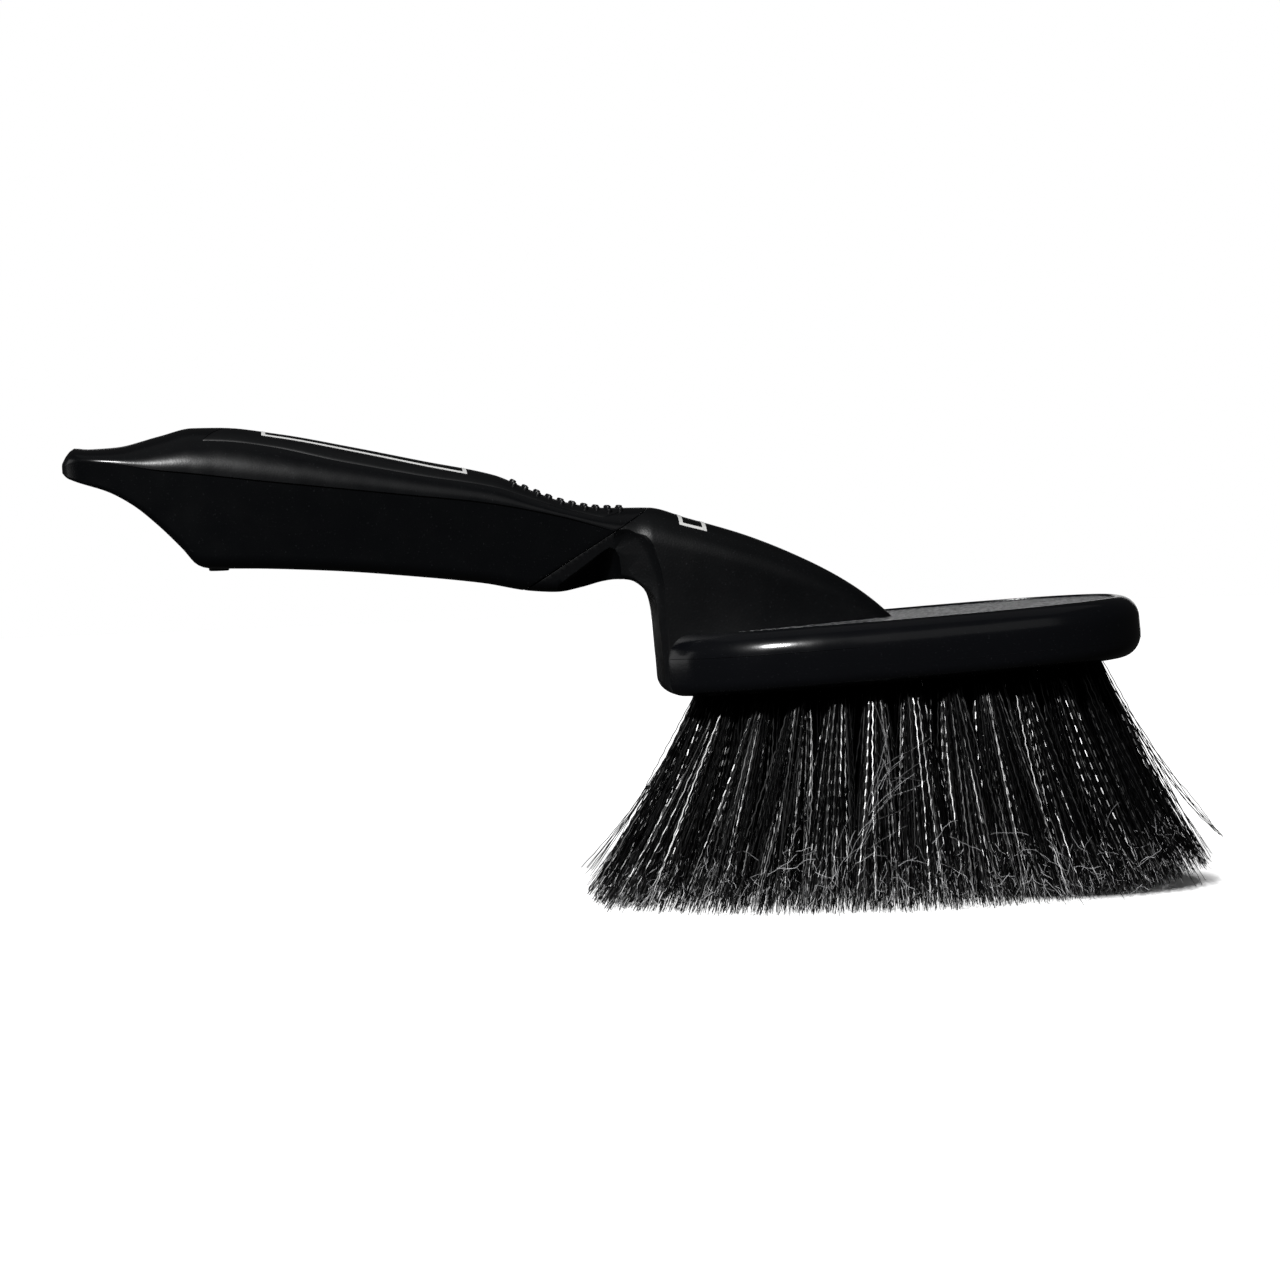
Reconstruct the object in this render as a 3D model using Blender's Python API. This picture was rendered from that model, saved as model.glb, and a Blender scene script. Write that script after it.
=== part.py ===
"""Wheel brush: a rigid moulded body with blind tuft holes, a soft sleeve over its handle, an inlaid
thumb panel, a soft rim band round the head, and 53 fanned tufts of crimped filament.

+X points to the toe of the head, +Z up. The origin lies on the plane of the bristle tips, under
the middle of the head, and the tips rest on Z = 0. Shapes are worked out in millimetres.
"""
import math
from itertools import pairwise

import bmesh
import bpy
from mathutils import Matrix, Vector

MM = 0.001

# Head: an oval block, toe tilted up, with a flat back end.
HEAD_TOE_LENGTH = 56.0
HEAD_HEEL_LENGTH = 55.6
HEAD_HALF_WIDTH = 31.0
HEAD_POWER = 2.5
HEAD_BOTTOM = 50.4
HEAD_TILT = math.radians(2.87)
HEAD_STEPS = 56
BLOCK_LIFT = 0.6
BLOCK_HEIGHT = 13.3
BACK_FLAT = -54.8
TONGUE_HALF_WIDTH = 12.2
TONGUE_LENGTH = 14.0
TONGUE_HEIGHT = 11.0
TONGUE_RADIUS = 4.0

# Rim band: a soft bullnose strip that keys into a groove round the block.
BAND_WALL = 4.6
BAND_HEIGHT = 13.8
BAND_RADIUS = 4.4
BAND_RIB = 1.4
RIB_LOW, RIB_HIGH = 5.0, 8.4
BAND_GAP = 0.3
BAND_END_OVERRUN = 3.0

# Handle and neck guide curves, seen from the side: (x, z).
CROWN = (
    (-187.7, 104.9), (-186.7, 106.6), (-185.0, 108.1), (-182.0, 107.8), (-176.0, 108.0),
    (-166.0, 110.2), (-158.5, 111.8), (-152.5, 111.7), (-139.0, 109.8), (-123.0, 106.4),
    (-107.0, 102.7), (-91.0, 99.0), (-83.0, 95.4), (-75.0, 92.3), (-66.5, 90.7), (-56.0, 90.4),
    (-47.5, 87.8), (-34.0, 83.4), (-20.5, 77.4), (-10.5, 71.6), (-2.0, 64.7), (1.5, 60.5),
)
UNDERSIDE = (
    (-187.7, 102.6), (-186.7, 101.6), (-185.0, 100.8), (-177.5, 98.2), (-172.0, 95.0),
    (-167.0, 90.7), (-161.5, 85.0), (-158.2, 81.2), (-156.0, 80.4), (-143.0, 79.8),
    (-127.0, 78.7), (-111.0, 77.0), (-94.5, 74.8), (-83.5, 72.6), (-78.0, 72.2), (-72.5, 73.0),
    (-67.0, 74.2), (-63.5, 74.6), (-60.5, 74.0), (-58.3, 72.6), (-56.9, 70.8), (-56.0, 67.0),
    (-55.5, 60.0), (-55.2, 56.0), (1.5, 58.5),
)
SHOULDER = (
    (-187.7, 103.8), (-185.0, 104.2), (-168.0, 103.0), (-158.0, 101.7), (-143.0, 99.6),
    (-130.0, 97.9), (-111.0, 95.4), (-94.5, 93.2), (-77.0, 89.4), (-65.0, 85.6), (-56.0, 82.0),
    (-45.0, 79.5), (-30.0, 74.5), (-15.0, 68.5), (-2.0, 62.5), (1.5, 59.5),
)
# Half widths (x, y) at the shoulder and at the underside.
SHOULDER_WIDTH = (
    (-187.7, 4.5), (-186.7, 7.4), (-185.0, 9.8), (-180.0, 12.4), (-172.0, 13.6), (-155.0, 14.6),
    (-135.0, 14.8), (-112.0, 14.0), (-92.0, 12.9), (-78.0, 12.0), (-66.0, 11.2), (-60.0, 11.0),
    (-56.0, 11.8), (-40.0, 11.2), (-25.0, 9.2), (-12.0, 6.2), (-2.0, 2.4), (1.5, 1.0),
)
UNDERSIDE_WIDTH = (
    (-187.7, 4.0), (-186.7, 6.8), (-185.0, 9.2), (-180.0, 11.8), (-172.0, 12.6), (-155.0, 12.4),
    (-135.0, 12.2), (-112.0, 11.6), (-92.0, 10.8), (-78.0, 9.8), (-66.0, 9.4), (-60.0, 10.6),
    (-56.0, 12.2), (-46.0, 12.2), (-36.0, 13.0), (-25.0, 12.0), (-12.0, 8.4), (-2.0, 3.4),
    (1.5, 1.6),
)
ARCH = (-64.0, -55.0)
STATION_STEP = 6.0
LEAST_STEP, LEAST_STEP_IN_ARCH = 0.9, 0.4
CROWN_POWER = 0.85
SHOULDER_STEP = 0.5
UNDERSIDE_RADIUS = 3.2
CROWN_STEPS = 6
SIDE_STEPS = 2
CORNER_STEPS = 3

# Finger scoop under the handle, seen from the side, and how far it reaches in from the side.
SCOOP = (
    (-82.0, 69.0), (-79.6, 72.9), (-77.4, 74.8), (-72.0, 78.3), (-67.4, 81.3), (-65.8, 82.1),
    (-64.4, 81.6), (-63.5, 79.8), (-63.1, 77.0), (-63.1, 73.5), (-63.5, 69.0),
)
SCOOP_OUTER, SCOOP_EDGE, SCOOP_INNER = 14.5, 10.8, 3.5
SCOOP_DROP = 7.5

# Sleeve, spine and thumb panel.
SEAM_TOP = (-56.3, 90.4)
SEAM_ANGLE = math.radians(31.0)
SEAM_GAP = 0.3
CUTTER_SIZE = 260.0
SPINE_START, SPINE_END = -148.0, -50.0
SPINE_HALF_WIDTH = 7.0
SPINE_EDGE = 2.0
SPINE_TOP = ((-148.0, 101.0), (-107.0, 96.0), (-50.0, 82.0))
SPINE_LOW = ((-148.0, 87.5), (-107.0, 85.0), (-50.0, 77.0))
SPINE_GAP = 0.3
PANEL_START, PANEL_END = -149.0, -62.0
PANEL_NOTCH = 7.0
PANEL_NOSE = 6.0
PANEL_HALF_WIDTH = 9.8
PANEL_DEPTH = 1.6
PANEL_GAP = 0.3
PANEL_COLUMNS, PANEL_ROWS = 8, 26

# Tufts: two oval rings and a middle row, as (count, half length, half width).
OUTER_RING = (26, 45.0, 21.5)
INNER_RING = (20, 36.0, 10.6)
MIDDLE_ROW = (7, 27.0)
OUTER_TIPS = (63.2, 39.5)
INNER_TIPS = (48.5, 21.5)
MIDDLE_TIPS = 34.0
HOLE_DEPTH = 10.4
HOLE_RADIUS = 2.6
HOLE_SIDES = 10
HOLE_OPENING = 0.06
TUFT_CLEARANCE = 0.4
TUFT_ROOT_RADIUS = 2.1
TUFT_TIP_RADIUS = 5.3
TUFT_SIDES = 10
TUFT_LEVELS = (0.0, 0.2, 0.45, 0.72, 1.0)
TUFT_FAN = 1.1

BLACK_PP = ("moulded_polypropylene_black", (0.012, 0.012, 0.013, 1), 0.42)
BLACK_TPE = ("soft_touch_rubber_black", (0.010, 0.010, 0.011, 1), 0.55)
BLACK_FILAMENT = ("crimped_filament_black", (0.016, 0.016, 0.017, 1), 0.35)


def smooth_curve(points, x):
    """The height at x of a curve through the points, with no overshoot between them."""
    if x <= points[0][0]:
        return points[0][1]
    if x >= points[-1][0]:
        return points[-1][1]
    spans = [(b[1] - a[1]) / (b[0] - a[0]) for a, b in pairwise(points)]
    k = next(i for i, p in enumerate(points[1:]) if x <= p[0])

    def slope(i):
        if i in (0, len(points) - 1):
            return spans[min(i, len(spans) - 1)]
        before, after = spans[i - 1], spans[i]
        return 0.0 if before * after <= 0 else 2 * before * after / (before + after)

    (x0, z0), (x1, z1) = points[k], points[k + 1]
    width = x1 - x0
    t = (x - x0) / width
    return ((2 * t**3 - 3 * t**2 + 1) * z0 + (t**3 - 2 * t**2 + t) * width * slope(k)
            + (3 * t**2 - 2 * t**3) * z1 + (t**3 - t**2) * width * slope(k + 1))


def material(name, colour, roughness):
    found = bpy.data.materials.get(name)
    if found:
        return found
    made = bpy.data.materials.new(name)
    made.use_nodes = True
    shader = made.node_tree.nodes["Principled BSDF"]
    shader.inputs["Base Color"].default_value = colour
    shader.inputs["Roughness"].default_value = roughness
    shader.inputs["Metallic"].default_value = 0.0
    return made


def add_object(name, bm, collection, finish=None):
    """A mesh object from a bmesh in millimetres, its faces turned out."""
    bmesh.ops.recalc_face_normals(bm, faces=bm.faces)
    bmesh.ops.scale(bm, vec=(MM, MM, MM), verts=bm.verts)
    mesh = bpy.data.meshes.new(name)
    bm.to_mesh(mesh)
    bm.free()
    obj = bpy.data.objects.new(name, mesh)
    collection.objects.link(obj)
    if finish:
        obj.data.materials.append(material(*finish))
    else:
        obj.hide_render = True
        obj.display_type = "WIRE"
    return obj


def boolean(obj, operation, other, solver="EXACT"):
    modifier = obj.modifiers.new(f"{operation.lower()}_{other.name}", "BOOLEAN")
    modifier.operation = operation
    modifier.solver = solver
    modifier.object = other


def loft(rings):
    """A closed solid through rings of points with the same count."""
    bm = bmesh.new()
    loops = []
    for ring in rings:
        verts = [bm.verts.new(point) for point in ring]
        loops.append([bm.edges.new((a, b)) for a, b in zip(verts, verts[1:] + verts[:1], strict=True)])
    for low, high in pairwise(loops):
        bmesh.ops.bridge_loops(bm, edges=low + high)
    for loop in (loops[0], loops[-1]):
        bmesh.ops.contextual_create(bm, geom=loop)
    bmesh.ops.triangulate(bm, faces=[f for f in bm.faces if len(f.verts) > 4])
    return bm


def place_on_head(bm):
    """Takes a shape from the head's own frame, where its underside is z = 0, into place."""
    turn = Matrix.Translation((0, 0, HEAD_BOTTOM)) @ Matrix.Rotation(-HEAD_TILT, 4, "Y")
    bmesh.ops.transform(bm, matrix=turn, verts=bm.verts)
    return bm


def oval_point(angle, inset=0.0):
    c, s = math.cos(angle), math.sin(angle)
    half_length = (HEAD_TOE_LENGTH if c > 0 else HEAD_HEEL_LENGTH) - inset
    return Vector((
        half_length * math.copysign(abs(c) ** (2 / HEAD_POWER), c),
        (HEAD_HALF_WIDTH - inset) * math.copysign(abs(s) ** (2 / HEAD_POWER), s),
    ))


def oval_normal(angle):
    step = 0.01
    along = oval_point(angle + step) - oval_point(angle - step)
    return Vector((along.y, -along.x)).normalized()


def band_angles():
    """Angles round the oval, from one side of the flat back to the other, evenly spaced along it."""
    fine = [math.radians(a * 0.5) for a in range(-359, 360)]
    end = next(a for a in fine if abs(oval_point(a).y) > TONGUE_HALF_WIDTH - BAND_END_OVERRUN)
    inside = [a for a in fine if end <= a <= -end]
    lengths = [0.0]
    for a, b in pairwise(inside):
        lengths.append(lengths[-1] + (oval_point(b) - oval_point(a)).length)
    wanted = [lengths[-1] * k / HEAD_STEPS for k in range(HEAD_STEPS + 1)]
    return [min(zip(lengths, inside, strict=True), key=lambda row: abs(row[0] - w))[1] for w in wanted]


def band_profile():
    """The rim band's section as (distance inside the oval, height), bullnose outside, rib inside."""
    r, top = BAND_RADIUS, BAND_HEIGHT
    steps = [math.radians(a) for a in (0, 30, 60, 90)]
    lower = [(r - r * math.sin(a), r - r * math.cos(a)) for a in steps]
    upper = [(r - r * math.cos(a), top - r + r * math.sin(a)) for a in steps]
    wall, rib = BAND_WALL, BAND_WALL + BAND_RIB
    inner = [(wall, top), (wall, RIB_HIGH), (rib, RIB_HIGH - 0.4), (rib, RIB_LOW + 0.4), (wall, RIB_LOW)]
    return lower + upper + inner + [(wall, 0.0)]


def swept_round_head(profile):
    """The profile carried round the oval, from one side of the flat back to the other."""
    rings = []
    for angle in band_angles():
        edge, outward = oval_point(angle), oval_normal(angle)
        spots = [(edge - outward * inset, height) for inset, height in profile]
        rings.append([(spot.x, spot.y, height) for spot, height in spots])
    return place_on_head(loft(rings))


def section(x):
    """The handle's or neck's outline at x: a crowned top, a small step, flat sides, round corners."""
    crown, low = smooth_curve(CROWN, x), smooth_curve(UNDERSIDE, x)
    shoulder = min(max(smooth_curve(SHOULDER, x), low + 0.45 * (crown - low)), crown - 0.8)
    wide, foot = smooth_curve(SHOULDER_WIDTH, x), smooth_curve(UNDERSIDE_WIDTH, x)
    radius = min(UNDERSIDE_RADIUS, 0.45 * (shoulder - low), 0.8 * foot)
    half = []
    for k in range(1, CROWN_STEPS + 1):
        t = 0.5 * math.pi * k / CROWN_STEPS
        half.append((wide * math.sin(t) ** CROWN_POWER, shoulder + (crown - shoulder) * math.cos(t)))
    side_top, side_low = shoulder - SHOULDER_STEP * 0.6, low + radius
    for k in range(SIDE_STEPS):
        t = k / SIDE_STEPS
        half.append((
            (1 - t) * (wide - SHOULDER_STEP) + t * foot, (1 - t) * side_top + t * side_low))
    for k in range(CORNER_STEPS + 1):
        t = 0.5 * math.pi * k / CORNER_STEPS
        half.append((foot - radius * (1 - math.cos(t)), side_low - radius * math.sin(t)))
    right = [(x, y, z) for y, z in half]
    left = [(x, -y, z) for y, z in reversed(half)]
    return [(x, 0.0, crown), *right, (x, 0.0, low), *left]


def handle_stations():
    """Places along the handle: the guide curves' own points, and even steps between them."""
    marks = {x for x, _ in CROWN} | {x for x, _ in UNDERSIDE}
    steps = int((CROWN[-1][0] - CROWN[0][0]) / STATION_STEP)
    even = {CROWN[0][0] + STATION_STEP * k for k in range(1, steps)}
    kept = []
    for x in sorted(marks | {x for x in even if not ARCH[0] < x < ARCH[1]}):
        least = LEAST_STEP_IN_ARCH if ARCH[0] < x <= ARCH[1] else LEAST_STEP
        if not kept or x - kept[-1] > least:
            kept.append(x)
    return kept


def handle_and_neck():
    return loft([section(x) for x in handle_stations()])


def seam_cutter(name, cutters, gap, keep_front):
    """A block whose slanted face is the seam, offset by the gap, that removes one side of it."""
    bm = bmesh.new()
    bmesh.ops.create_cube(bm, size=CUTTER_SIZE)
    side = 1.0 if keep_front else -1.0
    bmesh.ops.translate(bm, vec=(0, 0, side * (CUTTER_SIZE / 2 + gap)), verts=bm.verts)
    turn = Matrix.Translation((SEAM_TOP[0], 0, SEAM_TOP[1])) @ Matrix.Rotation(-SEAM_ANGLE, 4, "Y")
    bmesh.ops.transform(bm, matrix=turn, verts=bm.verts)
    return add_object(name, bm, cutters)


def spine(extra):
    """The core of the handle, a tapered bar with its edges cut, larger all round by extra."""
    rings = []
    for x in (SPINE_START - extra, SPINE_START + 30.0, SPINE_START + 60.0, SPINE_END):
        high = smooth_curve(SPINE_TOP, x) + extra
        low = smooth_curve(SPINE_LOW, x) - extra
        wide = SPINE_HALF_WIDTH + extra
        half = [(wide - SPINE_EDGE, high), (wide, high - SPINE_EDGE), (wide, low + SPINE_EDGE),
                (wide - SPINE_EDGE, low)]
        rings.append([(x, y, z) for y, z in half] + [(x, -y, z) for y, z in reversed(half)])
    return loft(rings)


def top_surface(x, y):
    """The height of the handle's crowned top at x, y."""
    crown, shoulder = smooth_curve(CROWN, x), smooth_curve(SHOULDER, x)
    wide = smooth_curve(SHOULDER_WIDTH, x)
    sine = min(1.0, abs(y) / wide) ** (1 / CROWN_POWER)
    return shoulder + (crown - shoulder) * math.sqrt(1 - sine * sine)


def panel_solid(grow, above, below):
    """A slab that follows the top of the handle, with a swallow-tail behind and a round front."""
    rings = []
    half_width = PANEL_HALF_WIDTH + grow
    for j in range(PANEL_COLUMNS + 1):
        across = 2.0 * j / PANEL_COLUMNS - 1.0
        y = across * half_width
        start = PANEL_START - PANEL_NOTCH * abs(across) - grow
        end = PANEL_END + grow - PANEL_NOSE * (1 - math.sqrt(1 - 0.98 * across * across))
        upper, lower = [], []
        for i in range(PANEL_ROWS + 1):
            x = start + (end - start) * i / PANEL_ROWS
            z = top_surface(x, y)
            upper.append((x, y, z + above))
            lower.append((x, y, z - below))
        rings.append(upper + lower[::-1])
    return loft(rings)


def head_block():
    """The oval block inside the rim band."""
    inset = BAND_WALL + BAND_GAP
    back = BACK_FLAT + inset
    outline = [oval_point(2 * math.pi * k / HEAD_STEPS, inset) for k in range(HEAD_STEPS)]
    outline = [(max(p.x, back), p.y) for p in outline]
    rings = [[(x, y, z) for x, y in outline] for z in (BLOCK_LIFT, BLOCK_HEIGHT)]
    return place_on_head(loft(rings))


def tongue():
    """The flat back end of the block, with a rounded lower edge, between the ends of the band."""
    r = TONGUE_RADIUS
    corner = [math.radians(a) for a in (0, 22.5, 45, 67.5, 90)]
    side = [(BACK_FLAT + r - r * math.cos(a), r - r * math.sin(a)) for a in corner]
    side += [(BACK_FLAT + TONGUE_LENGTH, 0.0), (BACK_FLAT + TONGUE_LENGTH, TONGUE_HEIGHT),
             (BACK_FLAT, TONGUE_HEIGHT)]
    rings = [[(x, y, z) for x, z in side] for y in (-TONGUE_HALF_WIDTH, TONGUE_HALF_WIDTH)]
    return place_on_head(loft(rings))


def finger_scoop(side):
    """The hollow under one side of the handle, in front of the seam: its roof faces down and out."""
    rings = []
    for y in (SCOOP_OUTER, SCOOP_EDGE, 9.0, 7.0, 5.0, SCOOP_INNER):
        share = max(0.0, (SCOOP_EDGE - y) / (SCOOP_EDGE - SCOOP_INNER))
        floor = SCOOP[0][1] + 1.0
        rings.append([(x, side * y, z - SCOOP_DROP * share**1.5 * (z > floor)) for x, z in SCOOP])
    return loft(rings)


def even_angles(half_length, half_width, count):
    """Angles that put count points round an ellipse at even distances, astride the +X axis."""
    turns = [2 * math.pi * k / 720 for k in range(721)]
    spots = [Vector((half_length * math.cos(a), half_width * math.sin(a))) for a in turns]
    lengths = [0.0]
    for a, b in pairwise(spots):
        lengths.append(lengths[-1] + (b - a).length)
    wanted = [lengths[-1] * (k + 0.5) / count for k in range(count)]
    return [min(zip(lengths, turns, strict=True), key=lambda row: abs(row[0] - w))[1] for w in wanted]


def tuft_places():
    """(name, entry into the block's underside, centre of the tips) of each tuft, in the plan."""
    places = []

    def ring(label, count, root, tips):
        for k, a in enumerate(even_angles(*root, count)):
            c, s = math.cos(a), math.sin(a)
            places.append((f"tuft_{label}_{k + 1:02d}", (root[0] * c, root[1] * s),
                           (tips[0] * c, tips[1] * s)))

    ring("outer", OUTER_RING[0], OUTER_RING[1:], OUTER_TIPS)
    ring("inner", INNER_RING[0], INNER_RING[1:], INNER_TIPS)
    count, reach = MIDDLE_ROW
    for k in range(count):
        share = 2.0 * k / (count - 1) - 1.0
        places.append((f"tuft_middle_{k + 1:02d}", (share * reach, 0.0), (share * MIDDLE_TIPS, 0.0)))
    return places


def leaning_cone(entry, tip, levels, sides):
    """A closed cone with level rings: each of levels is (share of the way from entry to tip, radius)."""
    top = Vector((entry[0], entry[1], HEAD_BOTTOM + entry[0] * math.tan(HEAD_TILT)))
    foot = Vector((tip[0], tip[1], 0.0))
    rings = []
    for share, radius in levels:
        centre = top.lerp(foot, share)
        turns = [2 * math.pi * k / sides for k in range(sides)]
        rings.append([(centre.x + radius * math.cos(a), centre.y + radius * math.sin(a), centre.z)
                      for a in turns])
    return loft(rings)


def tuft(entry, tip):
    height = HEAD_BOTTOM + entry[0] * math.tan(HEAD_TILT)
    buried = (HOLE_DEPTH - TUFT_CLEARANCE) / height
    levels = [(-buried, TUFT_ROOT_RADIUS)]
    for share in TUFT_LEVELS:
        spread = TUFT_ROOT_RADIUS + (TUFT_TIP_RADIUS - TUFT_ROOT_RADIUS) * share**TUFT_FAN
        levels.append((share, spread))
    return leaning_cone(entry, tip, levels, TUFT_SIDES)


def hole(entry, tip):
    height = HEAD_BOTTOM + entry[0] * math.tan(HEAD_TILT)
    levels = [(-HOLE_DEPTH / height, HOLE_RADIUS), (HOLE_OPENING, HOLE_RADIUS)]
    return leaning_cone(entry, tip, levels, HOLE_SIDES)


def tuft_holes(cutters):
    """One cutter that holds every blind hole."""
    joined = bmesh.new()
    for _, entry, tip in tuft_places():
        single = hole(entry, tip)
        scratch = bpy.data.meshes.new("hole")
        single.to_mesh(scratch)
        single.free()
        joined.from_mesh(scratch)
        bpy.data.meshes.remove(scratch)
    return add_object("cut_tuft_holes", joined, cutters)


def make_body(parts, cutters):
    body = add_object("brush_body", handle_and_neck(), parts, BLACK_PP)
    boolean(body, "DIFFERENCE", seam_cutter("cut_body_seam", cutters, -SEAM_GAP / 2, True))
    for name, shape in (("join_spine", spine(0.0)), ("join_head", head_block()),
                        ("join_tongue", tongue())):
        boolean(body, "UNION", add_object(name, shape, cutters))
    for side in (-1, 1):
        scoop = add_object(f"cut_scoop_{'right' if side < 0 else 'left'}", finger_scoop(side), cutters)
        boolean(body, "DIFFERENCE", scoop)
    groove = [(BAND_WALL - 1.0, RIB_LOW - BAND_GAP), (BAND_WALL - 1.0, RIB_HIGH + BAND_GAP),
              (BAND_WALL + BAND_RIB + BAND_GAP, RIB_HIGH + BAND_GAP),
              (BAND_WALL + BAND_RIB + BAND_GAP, RIB_LOW - BAND_GAP)]
    boolean(body, "DIFFERENCE", add_object("cut_band_groove", swept_round_head(groove), cutters))
    # The exact solver gives an empty result for this many holes in one cutter.
    boolean(body, "DIFFERENCE", tuft_holes(cutters), "MANIFOLD")


def make_band(parts, cutters):
    """The rim band, its two ends trimmed flat beside the tongue."""
    band = add_object("head_bumper", swept_round_head(band_profile()), parts, BLACK_TPE)
    room = bmesh.new()
    bmesh.ops.create_cube(room, size=1.0)
    bmesh.ops.scale(room, vec=(40.0, 2 * (TONGUE_HALF_WIDTH + BAND_GAP), 60.0), verts=room.verts)
    bmesh.ops.translate(room, vec=(BACK_FLAT, 0.0, HEAD_BOTTOM), verts=room.verts)
    boolean(band, "DIFFERENCE", add_object("cut_band_ends", room, cutters))


def make_sleeve(parts, cutters):
    sleeve = add_object("grip_sleeve", handle_and_neck(), parts, BLACK_TPE)
    boolean(sleeve, "DIFFERENCE", seam_cutter("cut_sleeve_seam", cutters, -SEAM_GAP / 2, False))
    boolean(sleeve, "DIFFERENCE", add_object("cut_spine_room", spine(SPINE_GAP), cutters))
    pocket = panel_solid(PANEL_GAP, 4.0, PANEL_DEPTH + PANEL_GAP)
    boolean(sleeve, "DIFFERENCE", add_object("cut_panel_pocket", pocket, cutters))


def make_scene():
    for obj in list(bpy.data.objects):
        bpy.data.objects.remove(obj, do_unlink=True)
    parts = bpy.data.collections.new("wheel_brush")
    cutters = bpy.data.collections.new("cutters")
    for collection in (parts, cutters):
        bpy.context.scene.collection.children.link(collection)
    make_body(parts, cutters)
    make_sleeve(parts, cutters)
    add_object("thumb_panel", panel_solid(0.0, 0.0, PANEL_DEPTH), parts, BLACK_TPE)
    make_band(parts, cutters)
    for name, entry, tip in tuft_places():
        add_object(name, tuft(entry, tip), parts, BLACK_FILAMENT)
    for obj in parts.objects:
        obj.data.shade_smooth()
        obj.data.set_sharp_from_angle(angle=math.radians(35))


make_scene()
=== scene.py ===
"""The looks of the wheel brush: a black moulded body, a soft sleeve, a soft rim and crimped bristles.

Sizes are in millimetres until a piece is finished, which turns it to metres in the frame's place.
"""
import math
import random
from itertools import pairwise

import bmesh
import bpy
from mathutils import Matrix, Vector


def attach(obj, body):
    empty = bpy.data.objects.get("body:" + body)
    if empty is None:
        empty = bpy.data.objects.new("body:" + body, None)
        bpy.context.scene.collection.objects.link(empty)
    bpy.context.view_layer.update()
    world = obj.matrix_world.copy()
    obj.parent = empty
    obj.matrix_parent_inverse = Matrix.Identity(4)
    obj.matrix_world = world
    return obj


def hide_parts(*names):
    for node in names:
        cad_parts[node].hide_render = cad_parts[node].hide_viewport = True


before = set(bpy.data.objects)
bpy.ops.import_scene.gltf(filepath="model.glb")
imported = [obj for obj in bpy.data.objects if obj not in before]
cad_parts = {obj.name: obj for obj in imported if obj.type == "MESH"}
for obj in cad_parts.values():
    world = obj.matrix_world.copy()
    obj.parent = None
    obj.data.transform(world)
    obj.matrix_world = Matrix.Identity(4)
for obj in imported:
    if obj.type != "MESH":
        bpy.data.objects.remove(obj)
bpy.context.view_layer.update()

MM = 0.001

SMOOTH_ANGLE = 40.0
PANEL_SMOOTH_ANGLE = 60.0
FILAMENT_SMOOTH_ANGLE = 80.0

# Head, as in the frame: an oval, toe tilted up, with a flat heel.
HEAD_TOE_LENGTH = 56.0
HEAD_HEEL_LENGTH = 55.6
HEAD_HALF_WIDTH = 31.0
HEAD_POWER = 2.5
HEAD_BOTTOM = 50.4
HEAD_TILT = math.radians(2.87)
BLOCK_LOW, BLOCK_HIGH = 0.6, 13.35
BLOCK_INSET = 4.95
BLOCK_STATIONS = 240
HEEL_FLAT = -54.8
HEEL_HALF_WIDTH = 12.2
HEEL_RADIUS = 4.0
HEEL_DEPTH = 14.0
HEEL_HEIGHT = 11.0
HEEL_CROWN, HEEL_CROWN_POWER = 0.7, 2.2
REAR_FACE_X, REAR_FACE_RUN = -52.0, 2.5
REAR_FACE_TOP, REAR_FACE_FADE = 80.0, 8.0
DECK_TOLERANCE = 0.4

BAND_HEIGHT = 13.8
BAND_RADIUS = 4.8
BAND_SHOULDER = 6.2
BAND_LIP, BAND_TUCK, BAND_BULGE = 0.3, 0.92, 0.04
BAND_SIDE_HEIGHT, BAND_INNER_CHAMFER = 6.0, 0.5
BAND_FOOT, BAND_FOOT_GAIN_AT_TOE = 3.0, 2.4
BAND_STATIONS, BAND_END_Y = 220, 9.0
BAND_ROOM = (40.0, 2 * (HEEL_HALF_WIDTH + 0.15), 60.0)
# The mould's line, at the heel and at the toe: (height, from x, to x).
MOULD_LINE_HEEL = (8.6, -54.0, -12.0)
MOULD_LINE_TOE = (4.1, -11.5, 57.0)
MOULD_LINE_RADIUS = 0.06
MOULD_LINE_STATIONS, MOULD_LINE_END_Y = 400, 13.0

# Handle and neck, seen from the side: (x, z), and half widths (x, y).
CROWN = (
    (-187.7, 104.9), (-186.7, 106.6), (-185.0, 108.1), (-182.0, 107.8), (-176.0, 108.0),
    (-166.0, 110.2), (-158.5, 111.8), (-152.5, 111.7), (-139.0, 109.8), (-123.0, 106.4),
    (-107.0, 102.7), (-91.0, 99.0), (-83.0, 95.4), (-75.0, 92.3), (-66.5, 90.7), (-56.0, 90.4),
    (-47.5, 87.8), (-34.0, 83.4), (-20.5, 77.4), (-10.5, 71.6), (-2.0, 64.7), (1.5, 60.5),
)
UNDERSIDE = (
    (-187.7, 102.6), (-186.7, 101.6), (-185.0, 100.8), (-177.5, 98.2), (-172.0, 95.0),
    (-167.0, 90.7), (-161.5, 85.0), (-158.2, 81.2), (-156.0, 80.4), (-143.0, 79.8),
    (-127.0, 78.7), (-111.0, 77.0), (-94.5, 74.8), (-83.5, 72.6), (-78.0, 72.2), (-72.5, 73.0),
    (-67.0, 74.2), (-63.5, 74.6), (-60.5, 74.0), (-58.3, 72.6), (-56.9, 70.8), (-56.0, 67.0),
    (-55.5, 60.0), (-55.2, 56.0), (1.5, 58.5),
)
SHOULDER = (
    (-187.7, 103.8), (-185.0, 105.2), (-176.0, 104.5), (-168.0, 103.0), (-158.0, 101.7), (-143.0, 99.6),
    (-130.0, 97.9), (-111.0, 95.4), (-94.5, 93.2), (-77.0, 89.4), (-65.0, 85.6), (-56.0, 82.0),
    (-45.0, 79.5), (-30.0, 74.5), (-15.0, 68.5), (-2.0, 62.5), (1.5, 59.5),
)
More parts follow.
